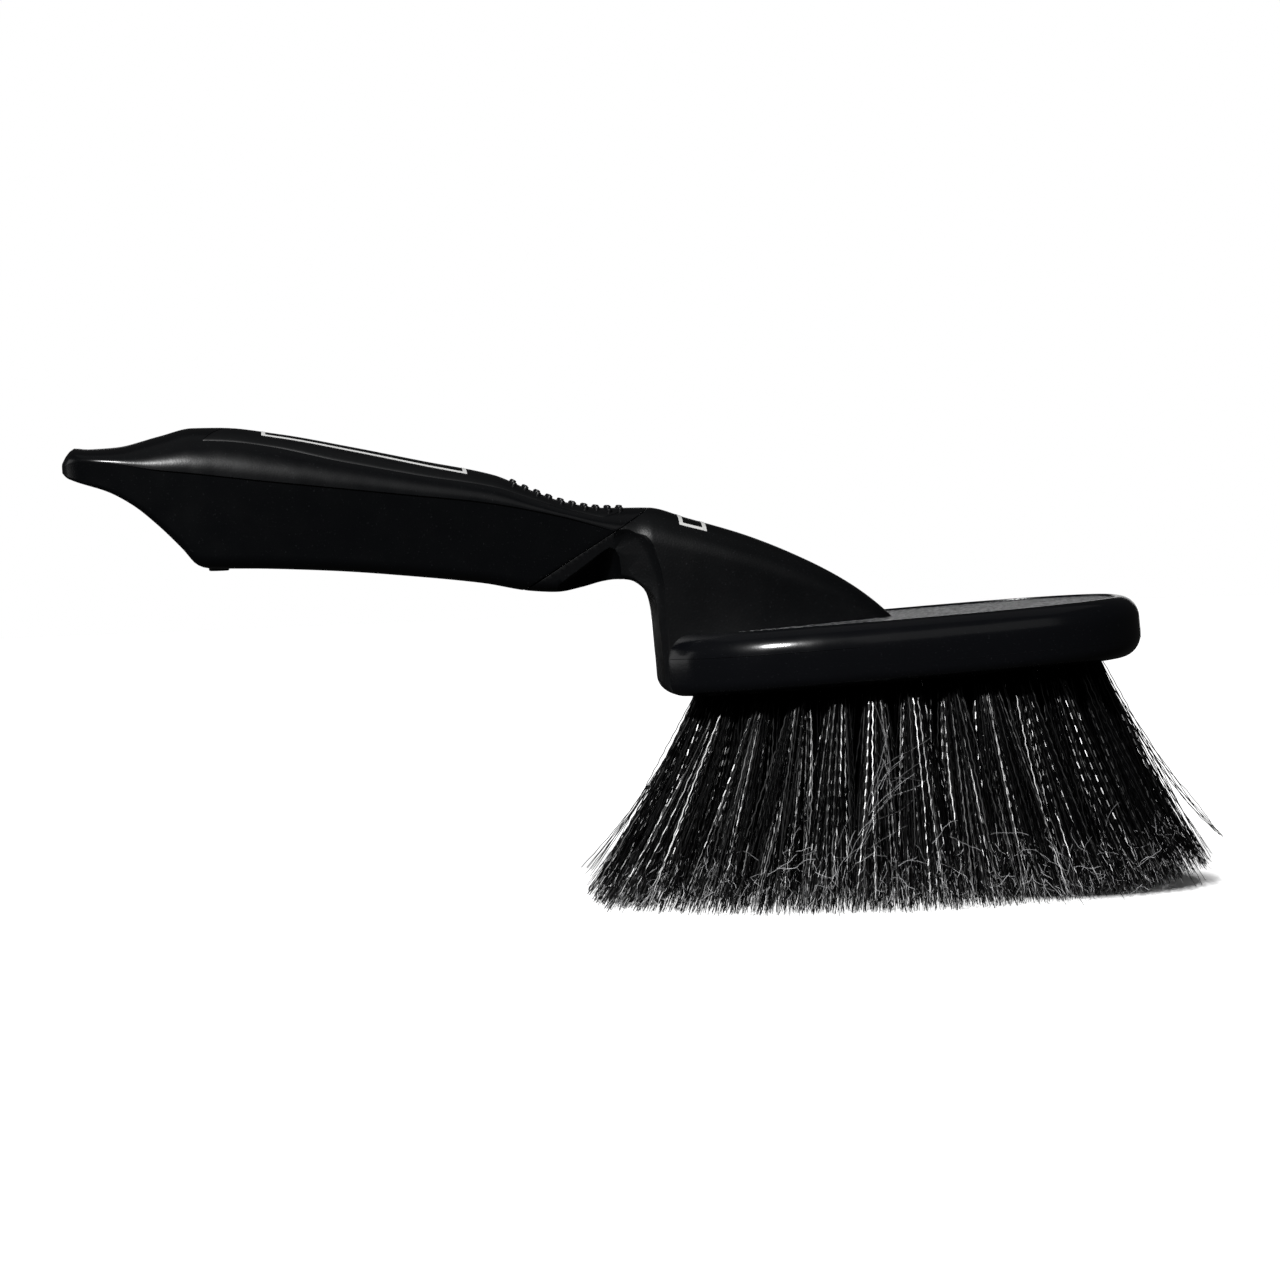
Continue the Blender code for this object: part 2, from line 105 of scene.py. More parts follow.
SHOULDER_WIDTH = (
    (-187.7, 4.5), (-186.7, 7.4), (-185.0, 9.8), (-180.0, 12.4), (-172.0, 13.6), (-155.0, 14.6),
    (-135.0, 14.8), (-112.0, 14.0), (-92.0, 12.9), (-78.0, 12.0), (-66.0, 11.2), (-60.0, 11.0),
    (-56.0, 11.8), (-40.0, 11.2), (-25.0, 9.2), (-12.0, 6.2), (-2.0, 2.4), (1.5, 1.0),
)
UNDERSIDE_WIDTH = (
    (-187.7, 4.0), (-186.7, 6.8), (-185.0, 9.2), (-180.0, 11.8), (-172.0, 12.6), (-155.0, 12.4),
    (-135.0, 12.2), (-112.0, 11.6), (-92.0, 10.8), (-78.0, 9.8), (-66.0, 9.4), (-60.0, 10.6),
    (-56.0, 12.2), (-46.0, 11.8), (-36.0, 11.3), (-25.0, 9.7), (-12.0, 6.6), (-2.0, 2.6), (1.5, 1.2),
)
CORNER_RADIUS = (
    (-187.7, 0.6), (-172.0, 1.6), (-150.0, 3.2), (-80.0, 3.0), (-66.0, 1.8), (-60.0, 0.9), (1.5, 0.4),
)
SHOULDER_STEP = 0.4
STEP_REAR_END, STEP_REAR_RUN = -176.0, 10.0
STEP_FRONT_END, STEP_FRONT_RUN = -60.0, 12.0
NECK_START, NECK_WAIST, NECK_WAIST_RUN = -56.0, 0.5, 12.0
LEAST_SIDE_SHARE, LEAST_CROWN = 0.45, 0.8
CROWN_POWER = 0.85
CROWN_STEPS, SIDE_STEPS, CORNER_STEPS = 20, 14, 6
STATION_STEP, FINE_STEP = 1.1, 0.02
TAIL_STATIONS = {-187.4, -187.0, -186.5, -186.0}

SEAM_TOP = (-56.3, 90.4)
SEAM_ANGLE = math.radians(31.0)
SEAM_HALF_GAP = 0.1
SEAM_BEVEL = 0.16
PANEL_START, PANEL_END = -149.0, -62.0
PANEL_NOTCH, PANEL_NOSE, PANEL_NOSE_SHARE = 7.0, 6.0, 0.98
PANEL_WIDTH = (
    (-157.0, 10.4), (-143.0, 10.6), (-126.0, 11.7), (-109.0, 11.5), (-89.0, 10.5), (-62.0, 9.2),
)
PANEL_DEPTH = 1.2
PANEL_GAP = 0.22
PANEL_PROUD, PANEL_EDGE_DROP = 0.02, 0.1
POCKET_OPENING, POCKET_SPARE = 5.0, 0.2
PANEL_COLUMNS, PANEL_ROWS = 32, 130
NUB_FIRST, NUB_PITCH, NUB_ROWS = -86.8, 2.67, 10
NUB_COLUMNS, NUB_COLUMN_PITCH = (5, 4), 3.3
NUB_FOOT, NUB_TOP, NUB_LENGTH, NUB_BEVEL = 0.72, 0.58, 1.35, 0.16
NUB_SIDES = 10
GATE_X, GATE_RADIUS, GATE_DEPTH, GATE_BEVEL = -153.6, 2.3, 1.6, 0.3
# Printed outlines: (from x, to x, the half widths at those two places), then the line of ink itself.
PANEL_FRAME = (-143.0, -97.3, (6.6, 8.0))
NECK_FRAME = (-49.8, -43.6, (8.4, 8.0))
INK_LINE, INK_LIFT, INK_THICK, INK_SINK = 0.9, 0.03, 0.06, 0.05

# The hollows beside the arch: the scoop as (x, z), the blend as (x, z, half width, depth there).
SCOOP = (
    (-82.0, 69.0), (-79.6, 72.9), (-77.4, 74.8), (-72.0, 78.3), (-67.4, 81.3), (-65.8, 82.1),
    (-64.4, 81.6), (-63.5, 79.8), (-63.1, 77.0), (-63.1, 73.5), (-63.5, 69.0),
)
SCOOP_MIDDLE, SCOOP_FLOOR = -70.0, 70.0
SCOOP_OUTSIDE, SCOOP_DEPTH, SCOOP_DROP, SCOOP_SQUEEZE = 14.5, 11.0, 7.5, 0.25
REAR_BLEND = (
    (-64.8, 86.2, 10.6, 0.0), (-62.6, 87.0, 10.7, 0.3), (-60.4, 86.7, 10.9, 0.8),
    (-57.6, 85.2, 11.4, 1.2), (-55.9, 82.4, 11.8, 1.4), (-54.6, 79.0, 12.1, 1.5),
    (-54.0, 76.0, 12.2, 1.6), (-53.5, 72.3, 12.2, 1.6), (-53.1, 64.0, 12.2, 1.6),
    (-52.8, 54.0, 12.2, 1.6), (-52.8, 46.0, 12.2, 1.6), (-60.0, 46.0, 12.2, 1.6),
    (-62.5, 70.0, 10.4, 0.6), (-64.0, 77.0, 10.3, 0.2), (-65.6, 82.0, 10.4, 0.0),
)
BLEND_CLEARANCE = 2.0
BLEND_PULL, BLEND_PULL_BEHIND = 2.1, -61.0
BLEND_DROP, BLEND_DROP_ABOVE = 2.0, 76.0

# Tufts, as in the frame: two oval rings and a middle row.
OUTER_RING = (26, 45.0, 21.5)
INNER_RING = (20, 36.0, 10.6)
MIDDLE_ROW = (7, 27.0)
OUTER_TIPS = (63.2, 39.5)
INNER_TIPS = (48.5, 21.5)
MIDDLE_TIPS = 34.0
HOLE_DEPTH, HOLE_OVERSHOOT = 10.4, 3.0
HOLE_RADIUS = 2.5
STAPLE_SIZE = (4.4, 0.4, 1.8)
STAPLE_HEIGHT, STAPLE_BEVEL = 1.4, 0.08

FILAMENT_RADIUS, SPLIT_RADIUS, CROSSED_RADIUS = 0.115, 0.05, 0.065
ROOT_SPREAD, ROOT_DEPTH = 1.95, 2.5
TIP_SPREAD, TIP_SCATTER = 8.4, 1.3
CRIMP_HEIGHT = 0.1
BOW_SCATTER, POINT_SCATTER = 0.7, 0.03
FREE_LENGTH = 54.5
OUTER_STRANDS, OUTER_SEGMENTS = 155, 36
INNER_STRANDS, INNER_SEGMENTS = 125, 14
OUTER_SPLIT_TIPS, INNER_SPLIT_TIPS = 120, 20
HEEL_FLARE = 0.06
FARTHEST_REACH, PULLED_BACK = 6.0, 0.8
# The share of tufts with their crimps in step, and how far each filament strays from that.
IN_STEP_SHARE, IN_STEP_SCATTER, OUT_OF_STEP_SCATTER = 0.25, 0.1, 0.35
SHARED_PHASE, LARGEST_PHASE = 0.45, 0.48
# The share of filaments that lean out of their tuft, and how far.
LEANING_SHARE, LEANING_REACH = 0.25, 3.0
STRAY_SEGMENTS = 26
SPLIT_SEGMENTS = 6
CROSSED_SEGMENTS = 12
# Bundles that have sprung out: (entry x, y), the end x, y, z, how many, scatter, waviness.
SPRUNG_BUNDLES = (
    ((44.0, -3.0), (73.2, -6.0, 10.5), 6, 0.7, 0.7),
    ((44.5, 1.0), (69.5, 0.0, 5.0), 7, 1.4, 0.4),
    ((-44.5, -4.0), (-73.0, -9.0, 9.0), 8, 1.2, 0.3),
    ((-44.5, -4.0), (-70.0, -10.0, 6.0), 22, 1.6, 0.3),
    ((-44.5, 3.0), (-69.0, 5.0, 4.5), 18, 1.8, 0.3),
    ((-41.0, -8.0), (-67.5, -22.0, 3.0), 18, 2.0, 0.4),
)

# Lamps, in metres and watts: (name, place, size, power). All aim at one spot in the brush.
LAMP_AIM = (-0.03, -0.02, 0.06)
LAMPS = (
    # Small, strong, high at the front left: the glints and the shadow.
    ("key", (-0.46, -0.83, 0.76), (0.08, 0.08), 13.0),
    # Broad, weak, high at the front right: fills the dark sides.
    ("front_fill", (0.36, -0.88, 0.78), (0.9, 0.6), 0.35),
    # Broad, weak, overhead: the top of the handle.
    ("top_softbox", (0.0, 0.25, 1.3), (1.6, 1.0), 0.35),
    # Low behind the brush: glances off the deck and the far edges.
    ("back_panel", (0.2, 1.5, 0.16), (1.0, 0.34), 0.95),
    # Low past the tail: glances along the handle.
    ("left_panel", (-1.4, 0.35, 0.3), (0.9, 0.7), 1.3),
)
ROOM_LIGHT = 0.02

# The floor, in metres. It glows white, except for a round patch at the toe where the shadow shows.
FLOOR_RADIUS = 1.6
SHADOW_PATCH = (0.042, 0.006, 0.0)
PATCH_INNER, PATCH_OUTER, PATCH_GLOW = 0.027, 0.036, 0.02

# The camera: its place in metres, its angles in degrees, its lens in millimetres.
CAMERA_PLACE = (-0.13917, -0.99027, 0.107)
CAMERA_HEADING, CAMERA_PITCH, CAMERA_ROLL = 4.633, -2.689, 1.9
CAMERA_LENS, CAMERA_SENSOR = 122.9, 36.0


# -------- shapes

def ramp(distance, length):
    """Rises from 0 to 1 over a length, and stays level on both sides of it."""
    return min(1.0, max(0.0, distance / length))


def quarter_turn(count):
    """The sine and cosine at even steps from 0 to 90 degrees."""
    turns = [0.5 * math.pi * k / count for k in range(count + 1)]
    return [(math.sin(t), math.cos(t)) for t in turns]


def smooth_curve(points, x):
    """The height at x of a curve through the points, with no overshoot between them."""
    if x <= points[0][0]:
        return points[0][1]
    if x >= points[-1][0]:
        return points[-1][1]
    spans = [(b[1] - a[1]) / (b[0] - a[0]) for a, b in pairwise(points)]
    k = next(i for i, p in enumerate(points[1:]) if x <= p[0])

    def slope(i):
        if i in (0, len(points) - 1):
            return spans[min(i, len(spans) - 1)]
        before, after = spans[i - 1], spans[i]
        return 0.0 if before * after <= 0 else 2 * before * after / (before + after)

    (x0, z0), (x1, z1) = points[k], points[k + 1]
    width = x1 - x0
    t = (x - x0) / width
    return ((2 * t**3 - 3 * t**2 + 1) * z0 + (t**3 - 2 * t**2 + t) * width * slope(k)
            + (3 * t**2 - 2 * t**3) * z1 + (t**3 - t**2) * width * slope(k + 1))


def as_mesh(name, bm):
    """A mesh from a bmesh, which it uses up."""
    mesh = bpy.data.meshes.new(name)
    bm.to_mesh(mesh)
    bm.free()
    return mesh


def add_object(name, data):
    """A new object in the scene, at the origin."""
    made = bpy.data.objects.new(name, data)
    bpy.context.scene.collection.objects.link(made)
    return made


def finish_piece(name, bm, finish, replaces=(), smooth_angle=SMOOTH_ANGLE):
    """A bmesh in millimetres becomes a piece of the brush, in place, that rides on its one body."""
    bmesh.ops.scale(bm, vec=(MM, MM, MM), verts=bm.verts)
    mesh = as_mesh(name, bm)
    mesh.shade_smooth()
    mesh.set_sharp_from_angle(angle=math.radians(smooth_angle))
    piece = add_object(name, mesh)
    mesh.materials.append(finish)
    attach(piece, "root")
    if replaces:
        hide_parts(*replaces)
    return piece


def tool_object(bm):
    """An object that cuts or joins, in metres."""
    bmesh.ops.recalc_face_normals(bm, faces=bm.faces)
    bmesh.ops.scale(bm, vec=(MM, MM, MM), verts=bm.verts)
    return add_object("tool", as_mesh("tool", bm))


def boolean(piece, operation, tool):
    """Applies one Boolean and removes its tool."""
    modifier = piece.modifiers.new(operation.lower(), "BOOLEAN")
    modifier.operation = operation
    modifier.solver = "MANIFOLD"
    modifier.object = tool
    graph = bpy.context.evaluated_depsgraph_get()
    made = bpy.data.meshes.new_from_object(piece.evaluated_get(graph))
    piece.modifiers.clear()
    old, name = piece.data, piece.data.name
    piece.data = made
    bpy.data.meshes.remove(old)
    made.name = name
    bpy.data.objects.remove(tool, do_unlink=True)
    made.shade_smooth()
    made.set_sharp_from_angle(angle=math.radians(SMOOTH_ANGLE))


def loft(rings):
    """A skin through rings of points with the same count, closed at both ends."""
    bm = bmesh.new()
    loops = []
    for ring in rings:
        verts = [bm.verts.new(point) for point in ring]
        loops.append([bm.edges.new(pair) for pair in zip(verts, verts[1:] + verts[:1], strict=True)])
    for low, high in pairwise(loops):
        bmesh.ops.bridge_loops(bm, edges=low + high)
    for loop in (loops[0], loops[-1]):
        bmesh.ops.contextual_create(bm, geom=loop)
    bmesh.ops.triangulate(bm, faces=[f for f in bm.faces if len(f.verts) > 4])
    bmesh.ops.recalc_face_normals(bm, faces=bm.faces)
    return bm


def add_part(joined, part):
    """Moves the mesh of one bmesh into another."""
    scratch = as_mesh("scratch", part)
    joined.from_mesh(scratch)
    bpy.data.meshes.remove(scratch)


def place_on_head(bm):
    """Tilts a mesh made on a level head to the head's own tilt and height."""
    turn = Matrix.Translation((0, 0, HEAD_BOTTOM)) @ Matrix.Rotation(-HEAD_TILT, 4, "Y")
    bmesh.ops.transform(bm, matrix=turn, verts=bm.verts)
    return bm


def oval_point(angle, inset=0.0):
    """A spot on the head's outline in the plan, or on one that lies inside it."""
    c, s = math.cos(angle), math.sin(angle)
    half_length = (HEAD_TOE_LENGTH if c > 0 else HEAD_HEEL_LENGTH) - inset
    return Vector((
        half_length * math.copysign(abs(c) ** (2 / HEAD_POWER), c),
        (HEAD_HALF_WIDTH - inset) * math.copysign(abs(s) ** (2 / HEAD_POWER), s),
    ))


def oval_normal(angle):
    """The direction straight out of the head's outline."""
    along = oval_point(angle + 0.01) - oval_point(angle - 0.01)
    return Vector((along.y, -along.x)).normalized()


def lengths_along(spots):
    """The distance from the first spot to each, along the line through them all."""
    lengths = [0.0]
    for a, b in pairwise(spots):
        lengths.append(lengths[-1] + (b - a).length)
    return lengths


def even_steps(spots, count):
    """The indices of count + 1 spots at even distances along a fine list of them."""
    lengths = lengths_along(spots)
    picked, k = [], 0
    for n in range(count + 1):
        while k < len(lengths) - 1 and lengths[k] < lengths[-1] * n / count:
            k += 1
        picked.append(k)
    return picked


def band_angles(count, end_y):
    """Angles round the oval from one side of the heel to the other, at even distances."""
    fine = [math.radians(a * 0.1) for a in range(-1799, 1800)]
    end = next(a for a in fine if abs(oval_point(a).y) > end_y)
    inside = [a for a in fine if end <= a <= -end]
    return [inside[k] for k in even_steps([oval_point(a) for a in inside], count)]


# -------- handle and neck

def section(x):
    """The outline at x: a crowned top, a small step under it, flat sides and round corners."""
    crown, low = smooth_curve(CROWN, x), smooth_curve(UNDERSIDE, x)
    shoulder = max(smooth_curve(SHOULDER, x), low + LEAST_SIDE_SHARE * (crown - low))
    shoulder = min(shoulder, crown - LEAST_CROWN)
    wide, foot = smooth_curve(SHOULDER_WIDTH, x), smooth_curve(UNDERSIDE_WIDTH, x)
    radius = min(smooth_curve(CORNER_RADIUS, x), 0.45 * (shoulder - low), 0.8 * foot)
    step = SHOULDER_STEP * min(ramp(STEP_FRONT_END - x, STEP_FRONT_RUN),
                               ramp(x - STEP_REAR_END, STEP_REAR_RUN))
    half = []
    for sine, cosine in quarter_turn(CROWN_STEPS)[1:]:
        half.append((wide * sine**CROWN_POWER, shoulder + (crown - shoulder) * cosine))
    side_top, side_low = shoulder - 0.35 * step, low + radius
    for k in range(SIDE_STEPS):
        t = k / SIDE_STEPS
        waist = NECK_WAIST * math.sin(math.pi * t) * ramp(x - NECK_START, NECK_WAIST_RUN)
        half.append(((1 - t) * (wide - step) + t * foot - waist, (1 - t) * side_top + t * side_low))
    for sine, cosine in quarter_turn(CORNER_STEPS):
        half.append((foot - radius * (1 - cosine), side_low - radius * sine))
    right = [(x, y, z) for y, z in half]
    left = [(x, -y, z) for y, z in reversed(half)]
    return [(x, 0.0, crown), *right, (x, 0.0, low), *left]


def handle_stations():
    """Places along the handle at even steps of the underside's curve, closer at the tail and arch."""
    tail, toe = CROWN[0][0], CROWN[-1][0]
    fine = [tail + FINE_STEP * k for k in range(int((toe - tail) / FINE_STEP) + 1)]
    spots = [Vector((x, smooth_curve(UNDERSIDE, x))) for x in fine]
    count = int(sum((b - a).length for a, b in pairwise(spots)) / STATION_STEP)
    return sorted({round(fine[k], 2) for k in even_steps(spots, count)} | TAIL_STATIONS)


def handle_and_neck():
    """The handle and neck in one, before the seam parts the soft sleeve from the rigid neck."""
    return loft([section(x) for x in handle_stations()])


def cut_at_seam(bm, keep_front):
    """Keeps the part before or behind the slanted seam, and rounds the edge that the cut leaves."""
    across = Vector((-math.sin(SEAM_ANGLE), 0, math.cos(SEAM_ANGLE)))
    side = -1.0 if keep_front else 1.0
    spot = Vector((SEAM_TOP[0], 0, SEAM_TOP[1])) + across * side * SEAM_HALF_GAP
    cut = bmesh.ops.bisect_plane(
        bm, geom=bm.verts[:] + bm.edges[:] + bm.faces[:], plane_co=spot, plane_no=across,
        clear_outer=keep_front, clear_inner=not keep_front)
    rim = [e for e in cut["geom_cut"] if isinstance(e, bmesh.types.BMEdge)]
    bmesh.ops.contextual_create(bm, geom=rim)
    rim = [e for e in bm.edges if len(e.link_faces) == 2 and any(len(f.verts) > 8 for f in e.link_faces)]
    bmesh.ops.bevel(bm, geom=rim, offset=SEAM_BEVEL, offset_type="OFFSET", affect="EDGES", segments=2,
                    profile=0.5, material=-1, clamp_overlap=True)
    bmesh.ops.triangulate(bm, faces=[f for f in bm.faces if len(f.verts) > 4])
    bmesh.ops.recalc_face_normals(bm, faces=bm.faces)
    return bm


def top_surface(x, y):
    """The height of the crowned top at x, y."""
    crown, shoulder = smooth_curve(CROWN, x), smooth_curve(SHOULDER, x)
    sine = min(1.0, abs(y) / smooth_curve(SHOULDER_WIDTH, x)) ** (1 / CROWN_POWER)
    return shoulder + (crown - shoulder) * math.sqrt(1 - sine * sine)


def panel_slab(grow, above, below, edge_drop=0.0):
    """A slab that follows the top of the handle, with a swallow-tail behind and a round front."""
    rings = []
    for j in range(PANEL_COLUMNS + 1):
        across = 2.0 * j / PANEL_COLUMNS - 1.0
        start = PANEL_START - PANEL_NOTCH * abs(across) - grow
        nose = 1 - math.sqrt(1 - min(PANEL_NOSE_SHARE, across * across))
        end = PANEL_END + grow - PANEL_NOSE * nose
        upper, lower = [], []
        for i in range(PANEL_ROWS + 1):
            x = start + (end - start) * i / PANEL_ROWS
            y = across * (smooth_curve(PANEL_WIDTH, x) + grow)
            z = top_surface(x, y)
            at_edge = i in (0, PANEL_ROWS) or j in (0, PANEL_COLUMNS)
            upper.append((x, y, z + above - (edge_drop if at_edge else 0.0)))
            lower.append((x, y, z - below))
        rings.append(upper + lower[::-1])
    return loft(rings)


def surface_normal(x, y):
    """The direction straight out of the crowned top at x, y."""
    d = 0.05
    slope_x = (top_surface(x + d, y) - top_surface(x - d, y)) / (2 * d)
    slope_y = (top_surface(x, y + d) - top_surface(x, y - d)) / (2 * d)
    return Vector((-slope_x, -slope_y, 1.0)).normalized()


def make_grip(rubber):
    """The soft sleeve, with the pocket that the thumb panel lies in."""
    grip = finish_piece("grip_sleeve_skin", cut_at_seam(handle_and_neck(), False), rubber,
                        ["grip_sleeve"])
    pocket = panel_slab(PANEL_GAP, POCKET_OPENING, PANEL_DEPTH + POCKET_SPARE)
    boolean(grip, "DIFFERENCE", tool_object(pocket))


def make_panel(rubber):
    """The inlay in the top of the sleeve, with its edge a hair lower than its middle."""
    bm = panel_slab(0.0, PANEL_PROUD, PANEL_DEPTH, PANEL_EDGE_DROP)
    finish_piece("thumb_panel_inlay", bm, rubber, ["thumb_panel"], PANEL_SMOOTH_ANGLE)


def make_nubs(rubber):
    """Rows of small round pegs across the thumb rest, each sunk a little into the panel."""
    bm = bmesh.new()
    for row in range(NUB_ROWS):
        x = NUB_FIRST + NUB_PITCH * row
        columns = NUB_COLUMNS[row % 2]
        for column in range(columns):
            y = (column - (columns - 1) / 2) * NUB_COLUMN_PITCH
            spot = Vector((x, y, top_surface(x, y)))
            turn = surface_normal(x, y).to_track_quat("Z", "X").to_matrix().to_4x4()
            peg = bmesh.ops.create_cone(bm, cap_ends=True, segments=NUB_SIDES, radius1=NUB_FOOT,
                                        radius2=NUB_TOP, depth=NUB_LENGTH)
            bmesh.ops.transform(bm, matrix=Matrix.Translation(spot) @ turn, verts=peg["verts"])
    rims = [e for e in bm.edges if len(e.link_faces) == 2 and any(len(f.verts) > 4 for f in e.link_faces)]
    bmesh.ops.bevel(bm, geom=rims, offset=NUB_BEVEL, affect="EDGES", segments=2, profile=0.5, material=-1)
    finish_piece("thumb_nubs", bm, rubber)


def make_gate_mark(rubber):
    """The round scar of the injection gate under the tail end of the handle."""
    bm = bmesh.new()
    bmesh.ops.create_cone(bm, cap_ends=True, segments=28, radius1=GATE_RADIUS, radius2=GATE_RADIUS,
                          depth=GATE_DEPTH)
    rim = [e for e in bm.edges if all(abs(v.co.z + GATE_DEPTH / 2) < 0.01 for v in e.verts)]
    bmesh.ops.bevel(bm, geom=rim, offset=GATE_BEVEL, affect="EDGES", segments=2, profile=0.5, material=-1)
    bmesh.ops.translate(bm, vec=(GATE_X, 0, smooth_curve(UNDERSIDE, GATE_X) + 0.05), verts=bm.verts)
    finish_piece("gate_mark", bm, rubber)


def printed_frame(name, low_x, high_x, half_widths, ink):
    """A thin outline of ink on the crowned top: four strokes, each a strip that follows the surface."""
    bm = bmesh.new()

    def half_width(x):
        share = (x - low_x) / (high_x - low_x)
        return half_widths[0] + (half_widths[1] - half_widths[0]) * share

    def stroke(x0, x1, side0, side1, inset0, inset1):
        nx, ny = max(1, int(abs(x1 - x0) / 0.8)), 24 if side0 != side1 else 2
        rings = []
        for i in range(nx + 1):
            x = x0 + (x1 - x0) * i / nx
            y0 = side0 * (half_width(x) - inset0)
            y1 = side1 * (half_width(x) - inset1)
            row = [(x, y0 + (y1 - y0) * j / ny) for j in range(ny + 1)]
            upper = [(px, py, top_surface(px, py) + INK_LIFT + INK_THICK) for px, py in row]
            lower = [(px, py, top_surface(px, py) + INK_LIFT - INK_SINK) for px, py in reversed(row)]
            rings.append(upper + lower)
        add_part(bm, loft(rings))

    stroke(low_x, low_x + INK_LINE, -1, 1, 0.0, 0.0)
    stroke(high_x - INK_LINE, high_x, -1, 1, 0.0, 0.0)
    stroke(low_x + INK_LINE, high_x - INK_LINE, -1, -1, 0.0, INK_LINE)
    stroke(low_x + INK_LINE, high_x - INK_LINE, 1, 1, INK_LINE, 0.0)
    finish_piece(name, bm, ink)


# -------- head

def head_block():
    """The oval block that holds the tufts, cut straight across at the heel."""
    outline = []
    for k in range(BLOCK_STATIONS):
        spot = oval_point(2 * math.pi * k / BLOCK_STATIONS, BLOCK_INSET)
        outline.append((max(spot.x, HEEL_FLAT + BLOCK_INSET), spot.y))
    return place_on_head(loft([[(x, y, z) for x, y in outline] for z in (BLOCK_LOW, BLOCK_HIGH)]))


def heel():
    """The flat heel of the block between the ends of the band, with a rounded lower edge."""
    r = HEEL_RADIUS
    side = []
    for sine, cosine in quarter_turn(10):
        side.append((HEEL_FLAT + r - r * cosine, r - r * sine))
    front = HEEL_FLAT + HEEL_DEPTH
    side += [(front, 0.0), (front, HEEL_HEIGHT), (HEEL_FLAT, HEEL_HEIGHT)]
    rings = []
    for k in range(25):
        y = HEEL_HALF_WIDTH * (k / 12.0 - 1.0)
        rings.append([(x + heel_crown(y) * (x < front), y, z) for x, z in side])
    return place_on_head(loft(rings))


def heel_crown(y):
    """How far the rear face of the heel and neck curves forward towards its sides."""
    return HEEL_CROWN * min(1.0, abs(y) / HEEL_HALF_WIDTH) ** HEEL_CROWN_POWER


def crown_the_rear(bm):
    """Bends the rear face of the neck in the same curve as the heel under it."""
    for vert in bm.verts:
        x, y, z = vert.co
        share = ramp(REAR_FACE_X - x, REAR_FACE_RUN) * ramp(REAR_FACE_TOP - z, REAR_FACE_FADE)
        vert.co.x += heel_crown(y) * share
    return bm


def scoop(side):
    """The finger scoop on one side: a crisp straight edge that climbs towards the neck, over a
    hollow that faces down and outward."""
    rings = []
    for k in range(15):
        t = k / 14
        y = side * (SCOOP_OUTSIDE - SCOOP_DEPTH * t)
        drop = SCOOP_DROP * max(0.0, 1.5 * t - 0.5) ** 1.5
        squeeze = 1.0 - SCOOP_SQUEEZE * t * t
        rings.append([(SCOOP_MIDDLE + (x - SCOOP_MIDDLE) * squeeze, y, z - drop * (z > SCOOP_FLOOR))
                      for x, z in SCOOP])
    return loft(rings)


def rear_blend(side):
    """The shallow hollow between the finger scoop and the neck's rear edge, which it leaves crisp."""
    rings = []
    for k in range(11):
        t = k / 10
        inward = (max(0.0, t - 0.5) / 0.5) ** 1.4
        rings.append([
            (x - BLEND_PULL * inward * (x > BLEND_PULL_BEHIND),
             side * (face + BLEND_CLEARANCE - (BLEND_CLEARANCE + depth) * t),
             z - BLEND_DROP * inward * (z > BLEND_DROP_ABOVE)) for x, z, face, depth in REAR_BLEND])
    return loft(rings)


def hole_cutters():
    """One rod for each tuft hole, along the tuft's own lean."""
    joined = bmesh.new()
    for _, entry, tip in tuft_places():
        top, axis, turn = tuft_axis(entry, tip)
        cone = bmesh.ops.create_cone(joined, cap_ends=True, segments=20, radius1=HOLE_RADIUS,
                                     radius2=HOLE_RADIUS, depth=HOLE_DEPTH + HOLE_OVERSHOOT)
        middle = top + axis * (HOLE_OVERSHOOT - HOLE_DEPTH) / 2
        bmesh.ops.transform(joined, matrix=Matrix.Translation(middle) @ turn, verts=cone["verts"])
    return joined


def make_body(plastic, deck_with_painted_glints):
    """The rigid moulding: neck, block and heel in one, with a grained deck on top of the block in a second
    material, whose paler colour and pale specks are painted light.
    """
    neck = crown_the_rear(cut_at_seam(handle_and_neck(), True))
    body = finish_piece("rigid_body", neck, plastic, ["brush_body"])
    boolean(body, "UNION", tool_object(head_block()))
    boolean(body, "UNION", tool_object(heel()))
    for side in (-1, 1):
        boolean(body, "DIFFERENCE", tool_object(rear_blend(side)))
        boolean(body, "DIFFERENCE", tool_object(scoop(side)))
    boolean(body, "DIFFERENCE", tool_object(hole_cutters()))
    body.data.materials.clear()
    for finish in (plastic, deck_with_painted_glints):
        body.data.materials.append(finish)
    up = Matrix.Rotation(-HEAD_TILT, 3, "Y") @ Vector((0, 0, 1))
    # The deck's faces take the second material: a paler copy of the plastic with painted glints.
    for face in body.data.polygons:
        height = face.center.dot(up) / MM - HEAD_BOTTOM
        on_deck = face.normal.dot(up) > 0.999 and abs(height - BLOCK_HIGH) < DECK_TOLERANCE
        face.material_index = 1 if on_deck else 0


def band_profile(angle):
    """The rim's section, as (distance inside the oval, height). It is rounder below at the toe."""
    top, r, lip = BAND_HEIGHT, BAND_RADIUS, BAND_LIP
    tall = r + (BAND_SHOULDER - r) * (1.0 - max(0.0, math.cos(angle)) ** 4)
    low = BAND_FOOT + BAND_FOOT_GAIN_AT_TOE * max(0.0, math.cos(angle)) ** 6
    profile = []
    for sine, cosine in quarter_turn(10):
        profile.append((BAND_TUCK * (low - low * sine), low - low * cosine))
    profile.append((-BAND_BULGE, BAND_SIDE_HEIGHT))
    for sine, cosine in quarter_turn(12):
        profile.append((r - r * cosine, top - tall + tall * sine))
    for sine, cosine in quarter_turn(4)[1:]:
        profile.append((r + lip * sine, top - lip + lip * cosine))
    inner = r + lip
    return profile + [(inner, BAND_SIDE_HEIGHT), (inner, BAND_INNER_CHAMFER),
                      (inner - BAND_INNER_CHAMFER, 0.0)]


